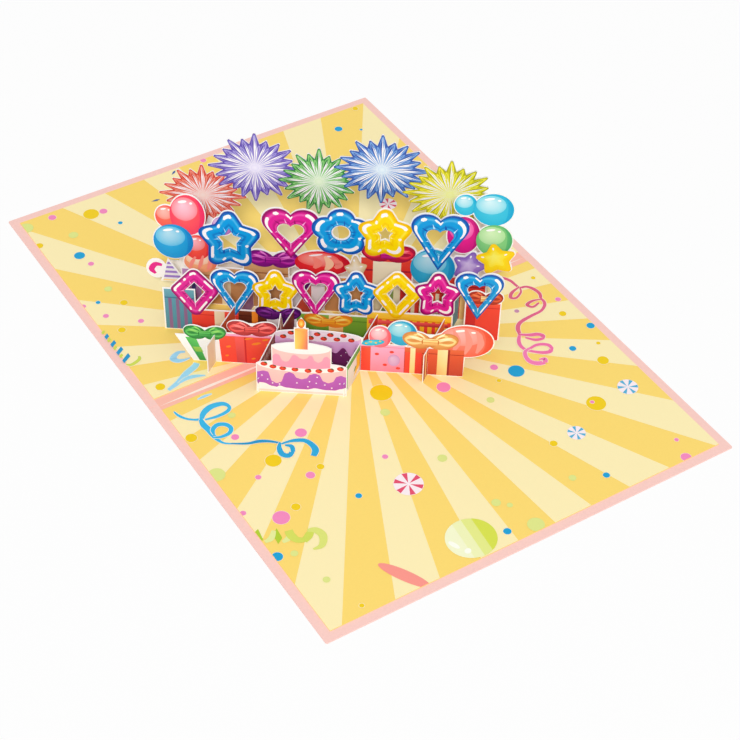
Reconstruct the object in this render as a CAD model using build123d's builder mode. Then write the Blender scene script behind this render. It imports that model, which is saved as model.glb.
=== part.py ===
"""A pop up greeting card, lying open flat.

A pink folded cover carries two printed inner panels. Nine flat die-cut sheets stand on them
as a lattice: five picture sheets that face the reader and four cross sheets. They halve
into each other with slots, and their glue tabs pass through slits in the printed panels.
X runs along the fold, Y from the front panel to the back one, Z up. The origin is the
centre of the fold on the underside of the cover. Millimetres.
"""

import os
from math import acos, atan2, cos, pi, radians, sin, sqrt

from build123d import *

# Card: cover, printed panels and the strip of cover left bare along the fold
card_width = 200.0
panel_depth = 146.3
cover_thickness = 0.7
cover_corner = 0.6
print_thickness = 0.35
border = 4.2
spine_strip = 7.6
crease_width = 0.5
crease_depth = 0.12

# Lattice: one stock for all standing sheets, all picture sheets parallel, all cross sheets parallel
sheet_thickness = 0.35
lattice_angle = 36.0
slot_clearance = 0.05
die_cut_margin = 0.55

# Distance of each picture sheet behind the centre of the card, across its own face
cake_offset = -44.0
front_row_offset = -27.5
second_row_offset = -8.0
first_row_offset = 10.0
arch_offset = 28.0

# Distance of each cross sheet in front of the centre of the card, across its own face
left_cross_offset = -45.0
cake_left_offset = -20.0
cake_right_offset = 15.0
right_cross_offset = 43.0

# Cross sheets: height inside the lattice, at the back and at the front ends
cross_height = 16.0
cross_back_height = 9.0
cross_step = 5.0
cross_overhang = 3.0
left_cross_nose = 8.0
right_cross_nose = 5.5
cake_corner_overhang = 0.7
cake_wall_height = 19.8
cake_spike_height = 25.5
cake_spike_width = 5.0
cake_spike_distance = 5.9

# Glue tabs
tab_width = 10.0
tab_foot = 6.0
tab_clearance = 0.1

stand_height = cover_thickness + print_thickness
crossing_angle = radians(2 * lattice_angle)
slot_width = sheet_thickness * (1 + cos(crossing_angle)) / sin(crossing_angle) + 2 * slot_clearance
slot_level = cross_height / 2
back_slot_level = cross_back_height / 2

along_x = cos(radians(lattice_angle))
along_y = sin(radians(lattice_angle))
picture_offsets = [cake_offset, front_row_offset, second_row_offset, first_row_offset, arch_offset]
cross_offsets = [left_cross_offset, cake_left_offset, cake_right_offset, right_cross_offset]


def picture_plane(offset, level=stand_height):
    """The upright plane of a picture sheet: x along the sheet to the right, y up."""
    return Plane(
        origin=(offset * along_y, offset * along_x, level),
        x_dir=(along_x, -along_y, 0),
        z_dir=(-along_y, -along_x, 0),
    )


def cross_plane(offset, level=stand_height):
    """The upright plane of a cross sheet: x along the sheet to the back, y up."""
    return Plane(
        origin=(offset * along_y, -offset * along_x, level),
        x_dir=(along_x, along_y, 0),
        z_dir=(along_y, -along_x, 0),
    )


def place_on_picture(picture_offset, cross_offset):
    """Where a cross sheet meets a picture sheet, along the picture sheet."""
    return (cross_offset + picture_offset * cos(crossing_angle)) / sin(crossing_angle)


def place_on_cross(picture_offset, cross_offset):
    """Where a picture sheet meets a cross sheet, along the cross sheet."""
    return (picture_offset + cross_offset * cos(crossing_angle)) / sin(crossing_angle)


def middle(first, second):
    return (first + second) / 2


def between_crosses(picture_offset, first, second):
    """Halfway between two cross sheets, along a picture sheet."""
    return middle(place_on_picture(picture_offset, first), place_on_picture(picture_offset, second))


def between_pictures(cross_offset, first, second):
    """Halfway between two picture sheets, along a cross sheet."""
    return middle(place_on_cross(first, cross_offset), place_on_cross(second, cross_offset))


# Glue tabs stand halfway between two slots
cake_tabs = [between_crosses(cake_offset, cake_left_offset, cake_right_offset)]
front_row_tabs = [
    between_crosses(front_row_offset, cake_left_offset, cake_right_offset),
    between_crosses(front_row_offset, cake_right_offset, right_cross_offset),
]
second_row_tabs = [between_crosses(second_row_offset, cake_right_offset, right_cross_offset)]
first_row_tabs = [between_crosses(first_row_offset, left_cross_offset, cake_left_offset)]
arch_tabs = [
    between_crosses(arch_offset, left_cross_offset, cake_left_offset),
    between_crosses(arch_offset, cake_left_offset, cake_right_offset),
]
left_cross_tabs = [
    between_pictures(left_cross_offset, front_row_offset, second_row_offset),
    between_pictures(left_cross_offset, first_row_offset, arch_offset),
]
cake_left_tabs = [
    between_pictures(cake_left_offset, second_row_offset, first_row_offset),
    between_pictures(cake_left_offset, first_row_offset, arch_offset),
]
cake_right_tabs = [
    between_pictures(cake_right_offset, cake_offset, front_row_offset),
    between_pictures(cake_right_offset, front_row_offset, second_row_offset),
]
right_cross_tabs = [
    between_pictures(right_cross_offset, front_row_offset, second_row_offset),
    between_pictures(right_cross_offset, second_row_offset, first_row_offset),
]

# Each tab as the plane of its sheet and its place along it
panel_tabs = (
    [(picture_plane(cake_offset, 0), place) for place in cake_tabs]
    + [(picture_plane(front_row_offset, 0), place) for place in front_row_tabs]
    + [(picture_plane(second_row_offset, 0), place) for place in second_row_tabs]
    + [(picture_plane(first_row_offset, 0), place) for place in first_row_tabs]
    + [(picture_plane(arch_offset, 0), place) for place in arch_tabs]
    + [(cross_plane(left_cross_offset, 0), place) for place in left_cross_tabs]
    + [(cross_plane(cake_left_offset, 0), place) for place in cake_left_tabs]
    + [(cross_plane(cake_right_offset, 0), place) for place in cake_right_tabs]
    + [(cross_plane(right_cross_offset, 0), place) for place in right_cross_tabs]
)


def flat_plane(upright, place, level):
    """The level plane under a tab: x along its sheet, y away from the reader's side of it."""
    spot = upright.origin + upright.x_dir * place
    return Plane(origin=(spot.X, spot.Y, level), x_dir=upright.x_dir, z_dir=(0, 0, 1))


# Pink cover: one folded sheet, with a pressed crease along the fold and shallow beds for the glued feet
with BuildPart() as card_cover:
    with BuildSketch(Plane.XY):
        RectangleRounded(card_width, 2 * panel_depth, cover_corner)
    extrude(amount=cover_thickness)
    with BuildSketch(Plane.XY.offset(cover_thickness)):
        Rectangle(card_width, crease_width)
    extrude(amount=-crease_depth, mode=Mode.SUBTRACT)
    for upright, place in panel_tabs:
        with BuildSketch(flat_plane(upright, place, cover_thickness)):
            with Locations((0, -tab_clearance - sheet_thickness / 2)):
                Rectangle(
                    tab_width + 2 * tab_clearance,
                    tab_foot + sheet_thickness + 2 * tab_clearance,
                    align=(Align.CENTER, Align.MIN),
                )
        extrude(amount=-sheet_thickness, mode=Mode.SUBTRACT)
card_cover.part.label = "card_cover"

# Printed inner panels: one on each side of the fold, with a slit for each tab
printed_depth = panel_depth - border - spine_strip / 2
printed_middle = spine_strip / 2 + printed_depth / 2


def cut_tab_slits():
    for upright, place in panel_tabs:
        with BuildSketch(flat_plane(upright, place, cover_thickness)) as slit:
            Rectangle(tab_width + 2 * tab_clearance, sheet_thickness + 2 * tab_clearance)
        extrude(slit.sketch, amount=print_thickness, mode=Mode.SUBTRACT)


with BuildPart() as front_panel_print:
    with BuildSketch(Plane.XY.offset(cover_thickness)):
        with Locations((0, -printed_middle)):
            Rectangle(card_width - 2 * border, printed_depth)
    extrude(amount=print_thickness)
    cut_tab_slits()
front_panel_print.part.label = "front_panel_print"

with BuildPart() as back_panel_print:
    with BuildSketch(Plane.XY.offset(cover_thickness)):
        with Locations((0, printed_middle)):
            Rectangle(card_width - 2 * border, printed_depth)
    extrude(amount=print_thickness)
    cut_tab_slits()
back_panel_print.part.label = "back_panel_print"


# What every standing sheet has: slots, tabs, and the tabs' folded feet
def cut_slots_from_foot(places, levels):
    """Slots of a picture sheet, open at its foot, for the cross sheets."""
    for place, level in zip(places, levels):
        with Locations((place, 0)):
            Rectangle(
                slot_width, level + slot_clearance, align=(Align.CENTER, Align.MIN), mode=Mode.SUBTRACT
            )


def cut_slots_from_top(places, levels, tops):
    """Slots of a cross sheet, open at its top edge, for the picture sheets."""
    for place, level, top in zip(places, levels, tops):
        with Locations((place, level - slot_clearance)):
            Rectangle(
                slot_width, top - level + cross_height, align=(Align.CENTER, Align.MIN), mode=Mode.SUBTRACT
            )


def add_tabs(places):
    """Tabs that pass down through the printed panel to the bottom of the bed in the cover."""
    for place in places:
        with Locations((place, 0)):
            Rectangle(tab_width, print_thickness + sheet_thickness, align=(Align.CENTER, Align.MAX))


def fold_feet(upright, places):
    """Each tab's end is folded back level and glued under the printed panel."""
    for place in places:
        with BuildSketch(flat_plane(upright, place, cover_thickness - sheet_thickness)) as foot:
            with Locations((0, sheet_thickness / 2)):
                Rectangle(tab_width, tab_foot, align=(Align.CENTER, Align.MIN))
        extrude(foot.sketch, amount=sheet_thickness)


# Printed motifs. Each stands a narrow white margin outside its print.
bow_loop_share = 0.31
bow_loop_height_share = 0.46
bow_knot_share = 0.3
bow_knot_height_share = 0.75
bow_spread_share = 0.26
bow_tilt = 20.0
star_tips = 5


def balloon(x, z, width, height):
    with Locations((x, z)):
        Ellipse(width / 2 + die_cut_margin, height / 2 + die_cut_margin)


def box(x, foot, width, height):
    with Locations((x, foot)):
        Rectangle(width + 2 * die_cut_margin, height + die_cut_margin, align=(Align.CENTER, Align.MIN))


def bow(x, z, width, height):
    """Two loops and a knot."""
    for side in (-1, 1):
        with Locations((x + side * width * bow_spread_share, z)):
            Ellipse(
                width * bow_loop_share + die_cut_margin,
                height * bow_loop_height_share + die_cut_margin,
                rotation=side * bow_tilt,
            )
    with Locations((x, z)):
        Rectangle(width * bow_knot_share + 2 * die_cut_margin, height * bow_knot_height_share)


def star_points(width, height, inner_share, turn):
    """The corners of a star, first tip up, fitted to a width and a height."""
    corners = []
    for step in range(2 * star_tips):
        reach = 1 if step % 2 == 0 else inner_share
        angle = pi / 2 + pi * step / star_tips + turn
        corners.append((width / 2 * reach * cos(angle), height / 2 * reach * sin(angle)))
    return corners


puffy_star_share = 0.56
star_rounding_share = 0.09


def star_balloon(x, z, width, height, turn=0):
    """A puffy star with blunt tips."""
    rounding = width * star_rounding_share
    with BuildSketch(mode=Mode.PRIVATE) as shape:
        with BuildLine():
            Polyline(
                *star_points(width - 2 * rounding, height - 2 * rounding, puffy_star_share, turn), close=True
            )
        make_face()
        offset(amount=rounding + die_cut_margin, kind=Kind.ARC)
    with Locations((x, z)):
        add(shape.sketch)


def pointed_hat(x, foot, width, height, lean):
    """A party hat: a tall triangle that leans to one side."""
    with BuildLine() as outline:
        Polyline(
            (x - width / 2 - die_cut_margin, foot),
            (x + width / 2 + die_cut_margin, foot),
            (x + lean, foot + height + die_cut_margin),
            close=True,
        )
    make_face(outline.edges())


# Tube figures of the two rows: closed foil tubes, open in the middle
tube_star_share = 0.58
star_apothem_share = 0.55
heart_lobe_share = 0.27
heart_opening_share = 1.25
diamond_girdle_share = 0.12
petal_ring_share = 0.27
petal_share = 0.235
flower_hole_share = 0.14
petal_count = 5
upward = 90.0


def add_tube(x, z, corners, apothem, tube):
    """A tube bent along a closed run of corners: blunt outside, sharp at its opening."""
    bend = tube / 2
    opening = [corner * (1 - bend / apothem) for corner in corners]
    with BuildSketch(mode=Mode.PRIVATE) as shape:
        with BuildLine():
            Polyline(*corners, close=True)
        make_face()
        offset(amount=bend + die_cut_margin, kind=Kind.ARC)
        with BuildLine():
            Polyline(*opening, close=True)
        make_face(mode=Mode.SUBTRACT)
    with Locations((x, z)):
        add(shape.sketch)


def add_star_tube(x, z, width, height, tube):
    across, up = width - tube, height - tube
    corners = [Vector(*corner) for corner in star_points(across, up, tube_star_share, 0)]
    add_tube(x, z, corners, middle(across, up) / 2 * star_apothem_share, tube)


def add_diamond_tube(x, z, width, height, tube):
    """A tall diamond, widest a little above its middle."""
    across, up = (width - tube) / 2, (height - tube) / 2
    girdle = up * diamond_girdle_share
    corners = [Vector(0, -up), Vector(across, girdle), Vector(0, up), Vector(-across, girdle)]
    add_tube(x, z, corners, across * up / sqrt(across * across + up * up), tube)


def heart_face(width, height, mode=Mode.ADD):
    """A heart fitted to a width and a height: two round lobes and straight flanks to a point."""
    radius = width * heart_lobe_share
    centre = Vector(width / 2 - radius, height / 2 - radius)
    tip = Vector(0, -height / 2)
    to_tip = tip - centre
    swing = atan2(to_tip.Y, to_tip.X) + acos(radius / to_tip.length)
    flank = centre + Vector(radius * cos(swing), radius * sin(swing))
    notch = Vector(0, centre.Y + sqrt(radius * radius - centre.X * centre.X))
    with BuildLine() as outline:
        Line(tip, flank)
        ThreePointArc(flank, centre + Vector(0, radius), notch)
        mirror(about=Plane.YZ)
    make_face(outline.edges(), mode=mode)


def add_heart_tube(x, z, width, height, tube):
    with BuildSketch(mode=Mode.PRIVATE) as shape:
        heart_face(width + 2 * die_cut_margin, height + 2 * die_cut_margin)
        heart_face(width - 2 * tube, height - 2 * tube * heart_opening_share, mode=Mode.SUBTRACT)
    with Locations((x, z)):
        add(shape.sketch)


def add_flower_tube(x, z, width, height, tube):
    """Five round petals round an opening."""
    reach = middle(width, height)
    with BuildSketch(mode=Mode.PRIVATE) as shape:
        with PolarLocations(reach * petal_ring_share, petal_count, start_angle=upward):
            Circle(reach * petal_share + die_cut_margin)
        Circle(reach * petal_ring_share)
        Circle(reach * flower_hole_share, mode=Mode.SUBTRACT)
    with Locations((x, z)):
        add(shape.sketch)


# Firework burst: straight fingers with blunt ends, of uneven length, round one centre
burst_finger = 1.5
burst_tip_share = 0.4
burst_root_share = 0.72
burst_reach_shares = [
    1.0, 0.86, 0.96, 0.84, 0.93, 1.02, 0.9, 0.98, 0.82, 0.94,
    1.0, 0.84, 0.97, 0.88, 0.92, 1.02, 0.85, 0.96, 0.9, 0.83,
]


def burst(x, z, width, height):
    """One firework as a single outline, finger by finger."""
    count = len(burst_reach_shares)
    half_finger = burst_finger / 2
    corners = []
    for step, reach_share in enumerate(burst_reach_shares):
        angle = pi / 2 + 2 * pi * step / count
        centre = Vector(width / 2 * reach_share * cos(angle), height / 2 * reach_share * sin(angle))
        across = Vector(-sin(angle), cos(angle)) * half_finger
        ahead = Vector(cos(angle), sin(angle)) * half_finger
        valley_angle = angle + pi / count
        corners += [
            centre - across,
            centre - across * burst_tip_share + ahead,
            centre + across * burst_tip_share + ahead,
            centre + across,
            Vector(width / 2 * cos(valley_angle), height / 2 * sin(valley_angle)) * burst_root_share,
        ]
    with BuildSketch(mode=Mode.PRIVATE) as shape:
        with BuildLine():
            Polyline(*corners, close=True)
        make_face()
    with Locations((x, z)):
        add(shape.sketch)


# Cake front: two tiers and a candle, nearest the reader
cake_width = 38.9
cake_tier_height = 16.5
cake_tier_crown = 2.6
upper_tier_width = 25.5
upper_tier_foot = 12.0
upper_tier_height = 15.3
upper_tier_crown = 2.6
candle_width = 6.2
candle_height = 10.8
flame_width = 3.8
flame_height = 6.0
cake_right_edge = place_on_picture(cake_offset, cake_right_offset) + slot_width / 2 + cake_corner_overhang
cake_middle = cake_right_edge - cake_width / 2
upper_tier_top = upper_tier_foot + upper_tier_height + upper_tier_crown


def cake_tier(width, foot, height, crown):
    """One tier seen from a little above: straight sides and an arched back rim."""
    half = width / 2
    with BuildLine() as outline:
        Line((cake_middle - half, foot + height), (cake_middle - half, foot))
        Line((cake_middle - half, foot), (cake_middle + half, foot))
        Line((cake_middle + half, foot), (cake_middle + half, foot + height))
        ThreePointArc(
            (cake_middle + half, foot + height),
            (cake_middle, foot + height + crown),
            (cake_middle - half, foot + height),
        )
    make_face(outline.edges())


with BuildPart() as cake_front:
    with BuildSketch(picture_plane(cake_offset)):
        cake_tier(cake_width, 0, cake_tier_height, cake_tier_crown)
        cake_tier(upper_tier_width, upper_tier_foot, upper_tier_height, upper_tier_crown)
        with Locations((cake_middle, upper_tier_top - upper_tier_crown)):
            Rectangle(candle_width, candle_height, align=(Align.CENTER, Align.MIN))
        flame_foot = upper_tier_top - upper_tier_crown + candle_height
        with BuildLine():
            flame_tip = (cake_middle, flame_foot + flame_height)
            Polyline(
                (cake_middle - flame_width / 2, flame_foot - die_cut_margin),
                (cake_middle + flame_width / 2, flame_foot - die_cut_margin),
                (cake_middle + flame_width / 2, flame_foot + flame_height / 2),
                flame_tip,
                (cake_middle - flame_width / 2, flame_foot + flame_height / 2),
                close=True,
            )
        make_face()
        cut_slots_from_foot(
            [place_on_picture(cake_offset, cross) for cross in (cake_left_offset, cake_right_offset)],
            [slot_level, slot_level],
        )
        add_tabs(cake_tabs)
    extrude(amount=sheet_thickness / 2, both=True)
    fold_feet(picture_plane(cake_offset), cake_tabs)
cake_front.part.label = "cake_front"

# Front gift row: two gifts, the cake's back tier, a box of balloons and a tied gift
front_row_left = -73.5
front_row_length = 130.0
front_row_height = 30.0
front_box_shares = [
    (0.079, 0.152, 0.487, 0.054),
    (0.239, 0.187, 0.567, 0.007),
    (0.475, 0.297, 0.63, 0),
    (0.695, 0.148, 0.533, 0),
    (0.865, 0.198, 0.517, 0),
]
front_bow_shares = [(0.1, 0.56, 0.123, 0.253), (0.258, 0.69, 0.143, 0.265), (0.85, 0.673, 0.162, 0.313)]
front_balloon_shares = [(0.684, 0.69, 0.07, 0.4), (0.755, 0.783, 0.095, 0.46), (0.968, 0.7, 0.177, 0.59)]
front_rim_share = 0.11


def front_row_at(share):
    return front_row_left + share * front_row_length


with BuildPart() as front_gift_row:
    with BuildSketch(picture_plane(front_row_offset)):
        for x_share, width_share, height_share, flare_share in front_box_shares:
            half = width_share * front_row_length / 2
            flare = flare_share * front_row_length
            top = height_share * front_row_height
            centre = front_row_at(x_share)
            with BuildLine():
                Polyline(
                    (centre - half + flare, 0),
                    (centre + half, 0),
                    (centre + half + die_cut_margin, top + die_cut_margin),
                    (centre - half - die_cut_margin, top + die_cut_margin),
                    close=True,
                )
            make_face()
        with Locations((front_row_at(front_box_shares[2][0]), front_box_shares[2][2] * front_row_height)):
            Ellipse(front_box_shares[2][1] * front_row_length / 2, front_rim_share * front_row_height)
        for x_share, z_share, width_share, height_share in front_bow_shares:
            bow(
                front_row_at(x_share),
                z_share * front_row_height,
                width_share * front_row_length,
                height_share * front_row_height,
            )
        for x_share, z_share, width_share, height_share in front_balloon_shares:
            balloon(
                front_row_at(x_share),
                z_share * front_row_height,
                width_share * front_row_length,
                height_share * front_row_height,
            )
        cut_slots_from_foot(
            [place_on_picture(front_row_offset, cross) for cross in cross_offsets],
            [slot_level] * len(cross_offsets),
        )
        add_tabs(front_row_tabs)
    extrude(amount=sheet_thickness / 2, both=True)
    fold_feet(picture_plane(front_row_offset), front_row_tabs)
front_gift_row.part.label = "front_gift_row"

# Second row: eight tube figures over a band of gifts, rising a little to the right
second_row_left = -67.3
second_row_pitch = 17.7
second_row_level = 22.3
second_row_rise = 1.1
second_row_tube = 5.4
second_figure_width = 20.6
second_figure_height = 26.0
second_band_left = -81.0
second_band_length = 148.0
second_band_height = 24.0
second_box_shares = [
    (0.045, 0.09, 0.98),
    (0.165, 0.17, 0.5),
    (0.27, 0.1, 0.55),
    (0.36, 0.11, 0.55),
    (0.515, 0.24, 0.58),
    (0.73, 0.25, 0.72),
    (0.945, 0.1, 1.1),
]
second_bow_shares = [(0.34, 0.54, 0.12, 0.3), (0.489, 0.44, 0.128, 0.3), (0.95, 1.22, 0.09, 0.3)]
second_lift_share = 0.2
figures_second_row = [
    add_diamond_tube,
    add_heart_tube,
    add_star_tube,
    add_heart_tube,
    add_star_tube,
    add_diamond_tube,
    add_star_tube,
    add_heart_tube,
]


def second_band_at(share):
    return second_band_left + share * second_band_length


with BuildPart() as second_row:
    with BuildSketch(picture_plane(second_row_offset)):
        for step, add_figure in enumerate(figures_second_row):
            add_figure(
                second_row_left + step * second_row_pitch,
                second_row_level + step * second_row_rise,
                second_figure_width,
                second_figure_height,
                second_row_tube,
            )
        for x_share, width_share, height_share in second_box_shares[:-1]:
            box(
                second_band_at(x_share),
                0,
                width_share * second_band_length,
                height_share * second_band_height,
            )
        x_share, width_share, height_share = second_box_shares[-1]
        foot = second_lift_share * second_band_height
        box(
            second_band_at(x_share),
            foot,
            width_share * second_band_length,
            height_share * second_band_height - foot,
        )
        for x_share, z_share, width_share, height_share in second_bow_shares:
            bow(
                second_band_at(x_share),
                z_share * second_band_height,
                width_share * second_band_length,
                height_share * second_band_height,
            )
        cut_slots_from_foot(
            [place_on_picture(second_row_offset, cross) for cross in cross_offsets],
            [slot_level] * len(cross_offsets),
        )
        add_tabs(second_row_tabs)
    extrude(amount=sheet_thickness / 2, both=True)
    fold_feet(picture_plane(second_row_offset), second_row_tabs)
second_row.part.label = "second_row"

# First row: five larger tube figures, balloons at both ends, gifts below
first_row_left = -92.0
first_row_length = 164.0
first_row_height = 72.0
first_row_tube = 6.8
first_balloon_shares = [
    (0.123, 0.706, 0.092, 0.306),
    (0.067, 0.688, 0.058, 0.167),
    (0.082, 0.496, 0.106, 0.264),
    (0.145, 0.458, 0.07, 0.19),
    (0.152, 0.34, 0.088, 0.16),
    (0.216, 0.638, 0.055, 0.139),
    (0.857, 0.91, 0.058, 0.153),
    (0.93, 0.885, 0.104, 0.236),
    (0.856, 0.679, 0.085, 0.278),
    (0.938, 0.651, 0.094, 0.236),
    (0.78, 0.406, 0.119, 0.299),
    (0.483, 0.392, 0.149, 0.188),
]
first_star_shares = [
    (0.947, 0.507, 0.107, 0.246, 0.2),
    (0.876, 0.438, 0.092, 0.236, -0.25),
    (0.574, 0.35, 0.062, 0.236, 0.1),
]
first_box_shares = [
    (0.13, 0.06, 0.28),
    (0.22, 0.14, 0.3),
    (0.33, 0.12, 0.36),
    (0.44, 0.12, 0.26),
    (0.55, 0.12, 0.28),
    (0.656, 0.137, 0.46),
    (0.77, 0.11, 0.26),
    (0.87, 0.11, 0.34),
]
first_bow_shares = [(0.349, 0.4, 0.125, 0.14), (0.66, 0.5, 0.13, 0.14)]
first_figure_shares = [
    (0.233, 0.526, 0.17, 0.458),
    (0.398, 0.61, 0.152, 0.38),
    (0.532, 0.642, 0.14, 0.4),
    (0.649, 0.647, 0.146, 0.39),
    (0.794, 0.61, 0.152, 0.43),
]
figures_first_row = [add_star_tube, add_heart_tube, add_flower_tube, add_star_tube, add_heart_tube]
hat_shares = (0.075, 0.17, 0.064, 0.18, -0.012)
curl_shares = (0.03, 0.27, 0.05, 0.14)


def first_row_at(share):
    return first_row_left + share * first_row_length


with BuildPart() as first_row:
    with BuildSketch(picture_plane(first_row_offset)):
        for add_figure, shares in zip(figures_first_row, first_figure_shares):
            x_share, z_share, width_share, height_share = shares
            add_figure(
                first_row_at(x_share),
                z_share * first_row_height,
                width_share * first_row_length,
                height_share * first_row_height,
                first_row_tube,
            )
        for x_share, z_share, width_share, height_share in first_balloon_shares + [curl_shares]:
            balloon(
                first_row_at(x_share),
                z_share * first_row_height,
                width_share * first_row_length,
                height_share * first_row_height,
            )
        for x_share, z_share, width_share, height_share, turn_share in first_star_shares:
            star_balloon(
                first_row_at(x_share),
                z_share * first_row_height,
                width_share * first_row_length,
                height_share * first_row_height,
                turn_share,
            )
        for x_share, width_share, height_share in first_box_shares:
            box(
                first_row_at(x_share), 0, width_share * first_row_length, height_share * first_row_height
            )
        for x_share, z_share, width_share, height_share in first_bow_shares:
            bow(
                first_row_at(x_share),
                z_share * first_row_height,
                width_share * first_row_length,
                height_share * first_row_height,
            )
        x_share, z_share, width_share, height_share, lean_share = hat_shares
        pointed_hat(
            first_row_at(x_share),
            z_share * first_row_height,
            width_share * first_row_length,
            height_share * first_row_height,
            lean_share * first_row_length,
        )
        cut_slots_from_foot(
            [place_on_picture(first_row_offset, cross) for cross in cross_offsets],
            [slot_level] * len(cross_offsets),
        )
        add_tabs(first_row_tabs)
    extrude(amount=sheet_thickness / 2, both=True)
    fold_feet(picture_plane(first_row_offset), first_row_tabs)
first_row.part.label = "first_row"

# Fireworks arch: five bursts carried by a leg at each end, over a low band along the foot
arch_left = -86.0
arch_length = 148.0
arch_height = 87.0
burst_shares = [
    (0.125, 0.555, 0.25, 0.37),
    (0.284, 0.747, 0.266, 0.41),
    (0.473, 0.683, 0.23, 0.4),
    (0.658, 0.782, 0.27, 0.41),
    (0.861, 0.65, 0.268, 0.41),
]
arch_leg_shares = [(0.1, 0.12, 0.6), (0.93, 0.12, 0.6)]
arch_band_height = 9.5


def arch_at(share):
    return arch_left + share * arch_length


with BuildPart() as fireworks_arch:
    with BuildSketch(picture_plane(arch_offset)):
        for x_share, z_share, width_share, height_share in burst_shares:
            burst(
                arch_at(x_share),
                z_share * arch_height,
                width_share * arch_length,
                height_share * arch_height,
            )
        for x_share, width_share, height_share in arch_leg_shares:
            with Locations((arch_at(x_share), 0)):
                Rectangle(
                    width_share * arch_length, height_share * arch_height, align=(Align.CENTER, Align.MIN)
                )
        leg_left = arch_at(arch_leg_shares[0][0])
        leg_right = arch_at(arch_leg_shares[1][0])
        with Locations((middle(leg_left, leg_right), 0)):
            Rectangle(leg_right - leg_left, arch_band_height, align=(Align.CENTER, Align.MIN))
        cut_slots_from_foot(
            [place_on_picture(arch_offset, cross) for cross in cross_offsets],
            [back_slot_level] * len(cross_offsets),
        )
        add_tabs(arch_tabs)
    extrude(amount=sheet_thickness / 2, both=True)
    fold_feet(picture_plane(arch_offset), arch_tabs)
fireworks_arch.part.label = "fireworks_arch"


# Cross sheets: low strips that run from front to back through the slots of the picture sheets
def cut_cake_corner(front_end, corner):
    """Only the lower half of a cross sheet comes through the cake: above it the sheet ends behind."""
    with Locations((front_end, slot_level - slot_clearance)):
        Rectangle(
            corner + slot_width / 2 - front_end,
            cross_height,
            align=(Align.MIN, Align.MIN),
            mode=Mode.SUBTRACT,
        )


def cross_strip(offset, front_end):
    """A strip's outline from its front end to just past the arch, lower at the back."""
    back_place = place_on_cross(arch_offset, offset)
    back_end = back_place + cross_overhang
    step_place = middle(place_on_cross(first_row_offset, offset), back_place)
    with BuildLine() as outline:
        Polyline(
            (front_end, 0),
            (back_end, 0),
            (back_end, cross_back_height),
            (step_place + cross_step / 2, cross_back_height),
            (step_place - cross_step / 2, cross_height),
            (front_end, cross_height),
            close=True,
        )
    make_face(outline.edges())


def slot_places(offset, met_offsets):
    return [place_on_cross(met, offset) for met in met_offsets]


def slot_levels(met_offsets):
    return [back_slot_level if met == arch_offset else slot_level for met in met_offsets]


with BuildPart() as left_cross_sheet:
    met = picture_offsets[1:]
    front_end = place_on_cross(front_row_offset, left_cross_offset) - left_cross_nose
    with BuildSketch(cross_plane(left_cross_offset)):
        cross_strip(left_cross_offset, front_end)
        cut_slots_from_top(slot_places(left_cross_offset, met), slot_levels(met), [cross_height] * len(met))
        add_tabs(left_cross_tabs)
    extrude(amount=sheet_thickness / 2, both=True)
    fold_feet(cross_plane(left_cross_offset), left_cross_tabs)
left_cross_sheet.part.label = "left_cross_sheet"

with BuildPart() as right_cross_sheet:
    met = picture_offsets[1:]
    front_end = place_on_cross(front_row_offset, right_cross_offset) - right_cross_nose
    with BuildSketch(cross_plane(right_cross_offset)):
        cross_strip(right_cross_offset, front_end)
        cut_slots_from_top(slot_places(right_cross_offset, met), slot_levels(met), [cross_height] * len(met))
        add_tabs(right_cross_tabs)
    extrude(amount=sheet_thickness / 2, both=True)
    fold_feet(cross_plane(right_cross_offset), right_cross_tabs)
right_cross_sheet.part.label = "right_cross_sheet"

with BuildPart() as cake_left_side:
    met = picture_offsets[1:]
    corner = place_on_cross(cake_offset, cake_left_offset)
    front_end = corner - slot_width / 2 - cake_corner_overhang
    wall_end = place_on_cross(front_row_offset, cake_left_offset)
    spike_place = wall_end + cake_spike_distance
    with BuildSketch(cross_plane(cake_left_offset)):
        cross_strip(cake_left_offset, front_end)
        with BuildLine():
            Polyline(
                (front_end, 0),
                (spike_place + cake_spike_width / 2, 0),
                (spike_place + cake_spike_width / 2, cross_height),
                (spike_place, cake_spike_height),
                (spike_place - cake_spike_width / 2, cake_wall_height),
                (wall_end, cake_wall_height),
                (front_end, cross_height),
                close=True,
            )
        make_face()
        cut_slots_from_top(
            slot_places(cake_left_offset, met),
            slot_levels(met),
            [cake_spike_height] * len(met),
        )
        cut_cake_corner(front_end, corner)
        add_tabs(cake_left_tabs)
    extrude(amount=sheet_thickness / 2, both=True)
    fold_feet(cross_plane(cake_left_offset), cake_left_tabs)
cake_left_side.part.label = "cake_left_side"

with BuildPart() as cake_right_side:
    met = picture_offsets[1:]
    corner = place_on_cross(cake_offset, cake_right_offset)
    front_end = corner - slot_width / 2 - cake_corner_overhang
    with BuildSketch(cross_plane(cake_right_offset)):
        cross_strip(cake_right_offset, front_end)
        cut_slots_from_top(slot_places(cake_right_offset, met), slot_levels(met), [cross_height] * len(met))
        cut_cake_corner(front_end, corner)
        add_tabs(cake_right_tabs)
    extrude(amount=sheet_thickness / 2, both=True)
    fold_feet(cross_plane(cake_right_offset), cake_right_tabs)
cake_right_side.part.label = "cake_right_side"

os.makedirs("parts", exist_ok=True)
for piece in (
    card_cover,
    front_panel_print,
    back_panel_print,
    cake_front,
    front_gift_row,
    second_row,
    first_row,
    fireworks_arch,
    left_cross_sheet,
    cake_left_side,
    cake_right_side,
    right_cross_sheet,
):
    export_step(piece.part, f"parts/{piece.part.label}.step")
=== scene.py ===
"""Print, materials, light and camera for the open pop up card."""

from math import acos, atan2, cos, hypot, inf, pi, radians, sin, sqrt

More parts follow.
